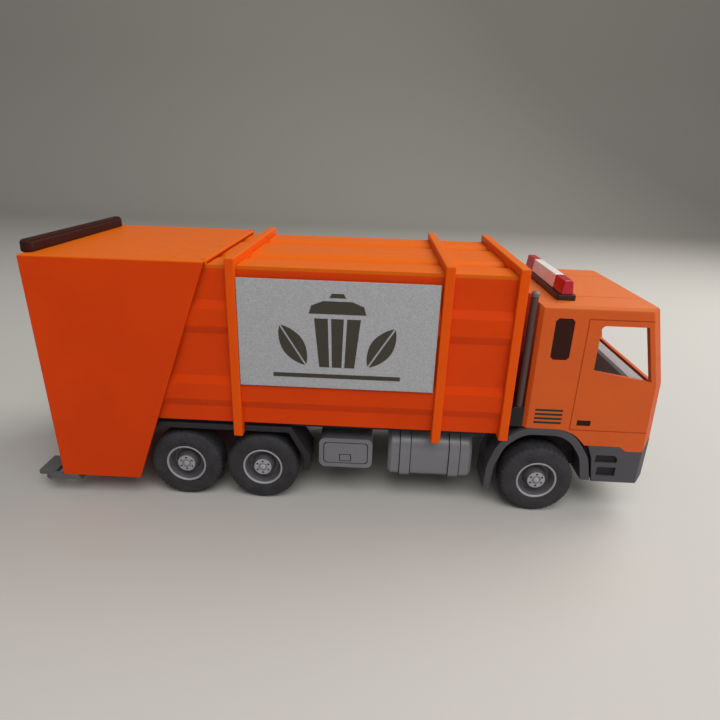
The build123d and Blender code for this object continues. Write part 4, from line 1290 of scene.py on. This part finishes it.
@dataclass
class Studio:
    """Pale floor, soft lights and the camera."""

    floor_colour: Colour = (0.491, 0.4793, 0.4508)
    backdrop_colour: Colour = (0.3813, 0.3663, 0.3372)
    backdrop_y: tuple[float, float] = (0.35, 1.2)  # metres over which the backdrop's tone sets in
    backdrop_height: float = 1.6  # metres
    backdrop_bend: Rounding = Rounding(450.0, 0.0, 16)
    floor_reach: float = 1.6  # metres
    floor_breadth: float = 2.5  # times its reach
    sky_colour: Colour = (1.0, 0.985, 0.96)
    sky_strength: float = 0.34
    lamps: Sequence[Lamp] = (
        Lamp("key", (0.70, 0.42, 0.85), 0.7, 9.0, (1.0, 0.985, 0.96)),
        Lamp("ceiling", (0.15, -0.65, 1.0), 0.8, 6.8),
        Lamp("fill", (0.9, -0.5, 0.5), 0.8, 2.5))
    aim: Sequence[float] = (0.0, 0.0, 0.06)
    eye: Vector = field(default_factory=lambda: Vector((17.87, -310.75, 187.13)) * MM)
    yaw: float = -0.028  # radians, as the next two
    pitch: float = 0.369
    roll: float = -0.033
    focal_px: float = 543.27
    frame_px: float = 720.0
    sensor: float = 36.0

    def camera(self) -> None:
        """Sets the camera at its place, turned by yaw, pitch and roll."""
        forward = Vector((math.sin(self.yaw) * math.cos(self.pitch),
                          math.cos(self.yaw) * math.cos(self.pitch), -math.sin(self.pitch)))
        right = Vector((math.cos(self.yaw), -math.sin(self.yaw), 0.0))
        down = forward.cross(right)
        across = right * math.cos(self.roll) + down * math.sin(self.roll)
        below = down * math.cos(self.roll) - right * math.sin(self.roll)
        turn = Matrix((across, -below, -forward)).transposed()
        data = bpy.data.cameras.new("camera")
        data.sensor_width = self.sensor
        data.lens = self.focal_px / self.frame_px * data.sensor_width
        data.clip_start = 0.01
        item = bpy.data.objects.new("camera", data)
        item.matrix_world = Matrix.Translation(self.eye) @ turn.to_4x4()
        bpy.context.scene.collection.objects.link(item)
        bpy.context.scene.camera = item

    def light(self, lamp: Lamp) -> None:
        """Hangs a lamp and turns it towards the truck.

        Args:
            lamp: the lamp.
        """
        data = bpy.data.lights.new(lamp.name, "AREA")
        data.shape = "SQUARE"
        data.size = lamp.side
        data.energy = lamp.power
        data.color = lamp.colour
        item = bpy.data.objects.new(lamp.name, data)
        item.location = lamp.place
        aim = Vector(self.aim) - Vector(lamp.place)
        item.rotation_euler = aim.to_track_quat("-Z", "Y").to_euler()
        bpy.context.scene.collection.objects.link(item)

    def floor(self) -> None:
        """Plain pale floor that turns up into a backdrop far behind the truck."""
        Bench.clear()
        bpy.ops.mesh.primitive_plane_add(size=2 * self.floor_reach)
        item = Bench.named("floor")
        Bench.edit(item)
        bpy.ops.transform.resize(value=(self.floor_breadth, 1.0, 1.0))
        bpy.ops.mesh.select_all(action="DESELECT")
        bpy.ops.object.mode_set(mode="OBJECT")
        for corner in item.data.vertices:
            corner.select = corner.co.y > 0
        bpy.ops.object.mode_set(mode="EDIT")
        bpy.ops.mesh.extrude_region_move(
            TRANSFORM_OT_translate={"value": (0.0, 0.0, self.backdrop_height)})
        Bench.leave()
        Bench.round_edges(item, self.backdrop_bend)
        Bench.pick(item)
        bpy.ops.object.shade_smooth()
        board = Board("floor")
        board.tint(board.along("Y", *self.backdrop_y), self.floor_colour, self.backdrop_colour)
        board.put(Roughness=0.9, Specular_IOR_Level=0.2)
        board.relief(board.bump(board.noise(per_mm=0.8, detail=3.0, rough=0.6), depth_mm=0.05))
        item.data.materials.append(board.material)

    def world(self) -> None:
        """Even pale light from all round."""
        world = bpy.data.worlds.new("studio")
        bpy.context.scene.world = world
        world.use_nodes = True
        back = world.node_tree.nodes["Background"]
        back.inputs["Color"].default_value = (*self.sky_colour, 1.0)
        back.inputs["Strength"].default_value = self.sky_strength

    def build(self) -> None:
        """Builds the studio."""
        self.camera()
        self.world()
        self.floor()
        for lamp in self.lamps:
            self.light(lamp)


def main() -> None:
    """Builds the truck's looks and the studio."""
    logging.basicConfig(level=logging.INFO, format="%(name)s: %(message)s")
    scene = bpy.context.scene
    scene.view_settings.view_transform = "Standard"
    shop = Workshop(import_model())
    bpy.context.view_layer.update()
    Studio().build()
    for kind in (Wheels, Chassis, Cab, LightBar, Exhaust, LoadBody, SignBoards, Tailgate):
        kind(shop).build()
    Bench.clear()


if __name__ == "__main__":
    main()
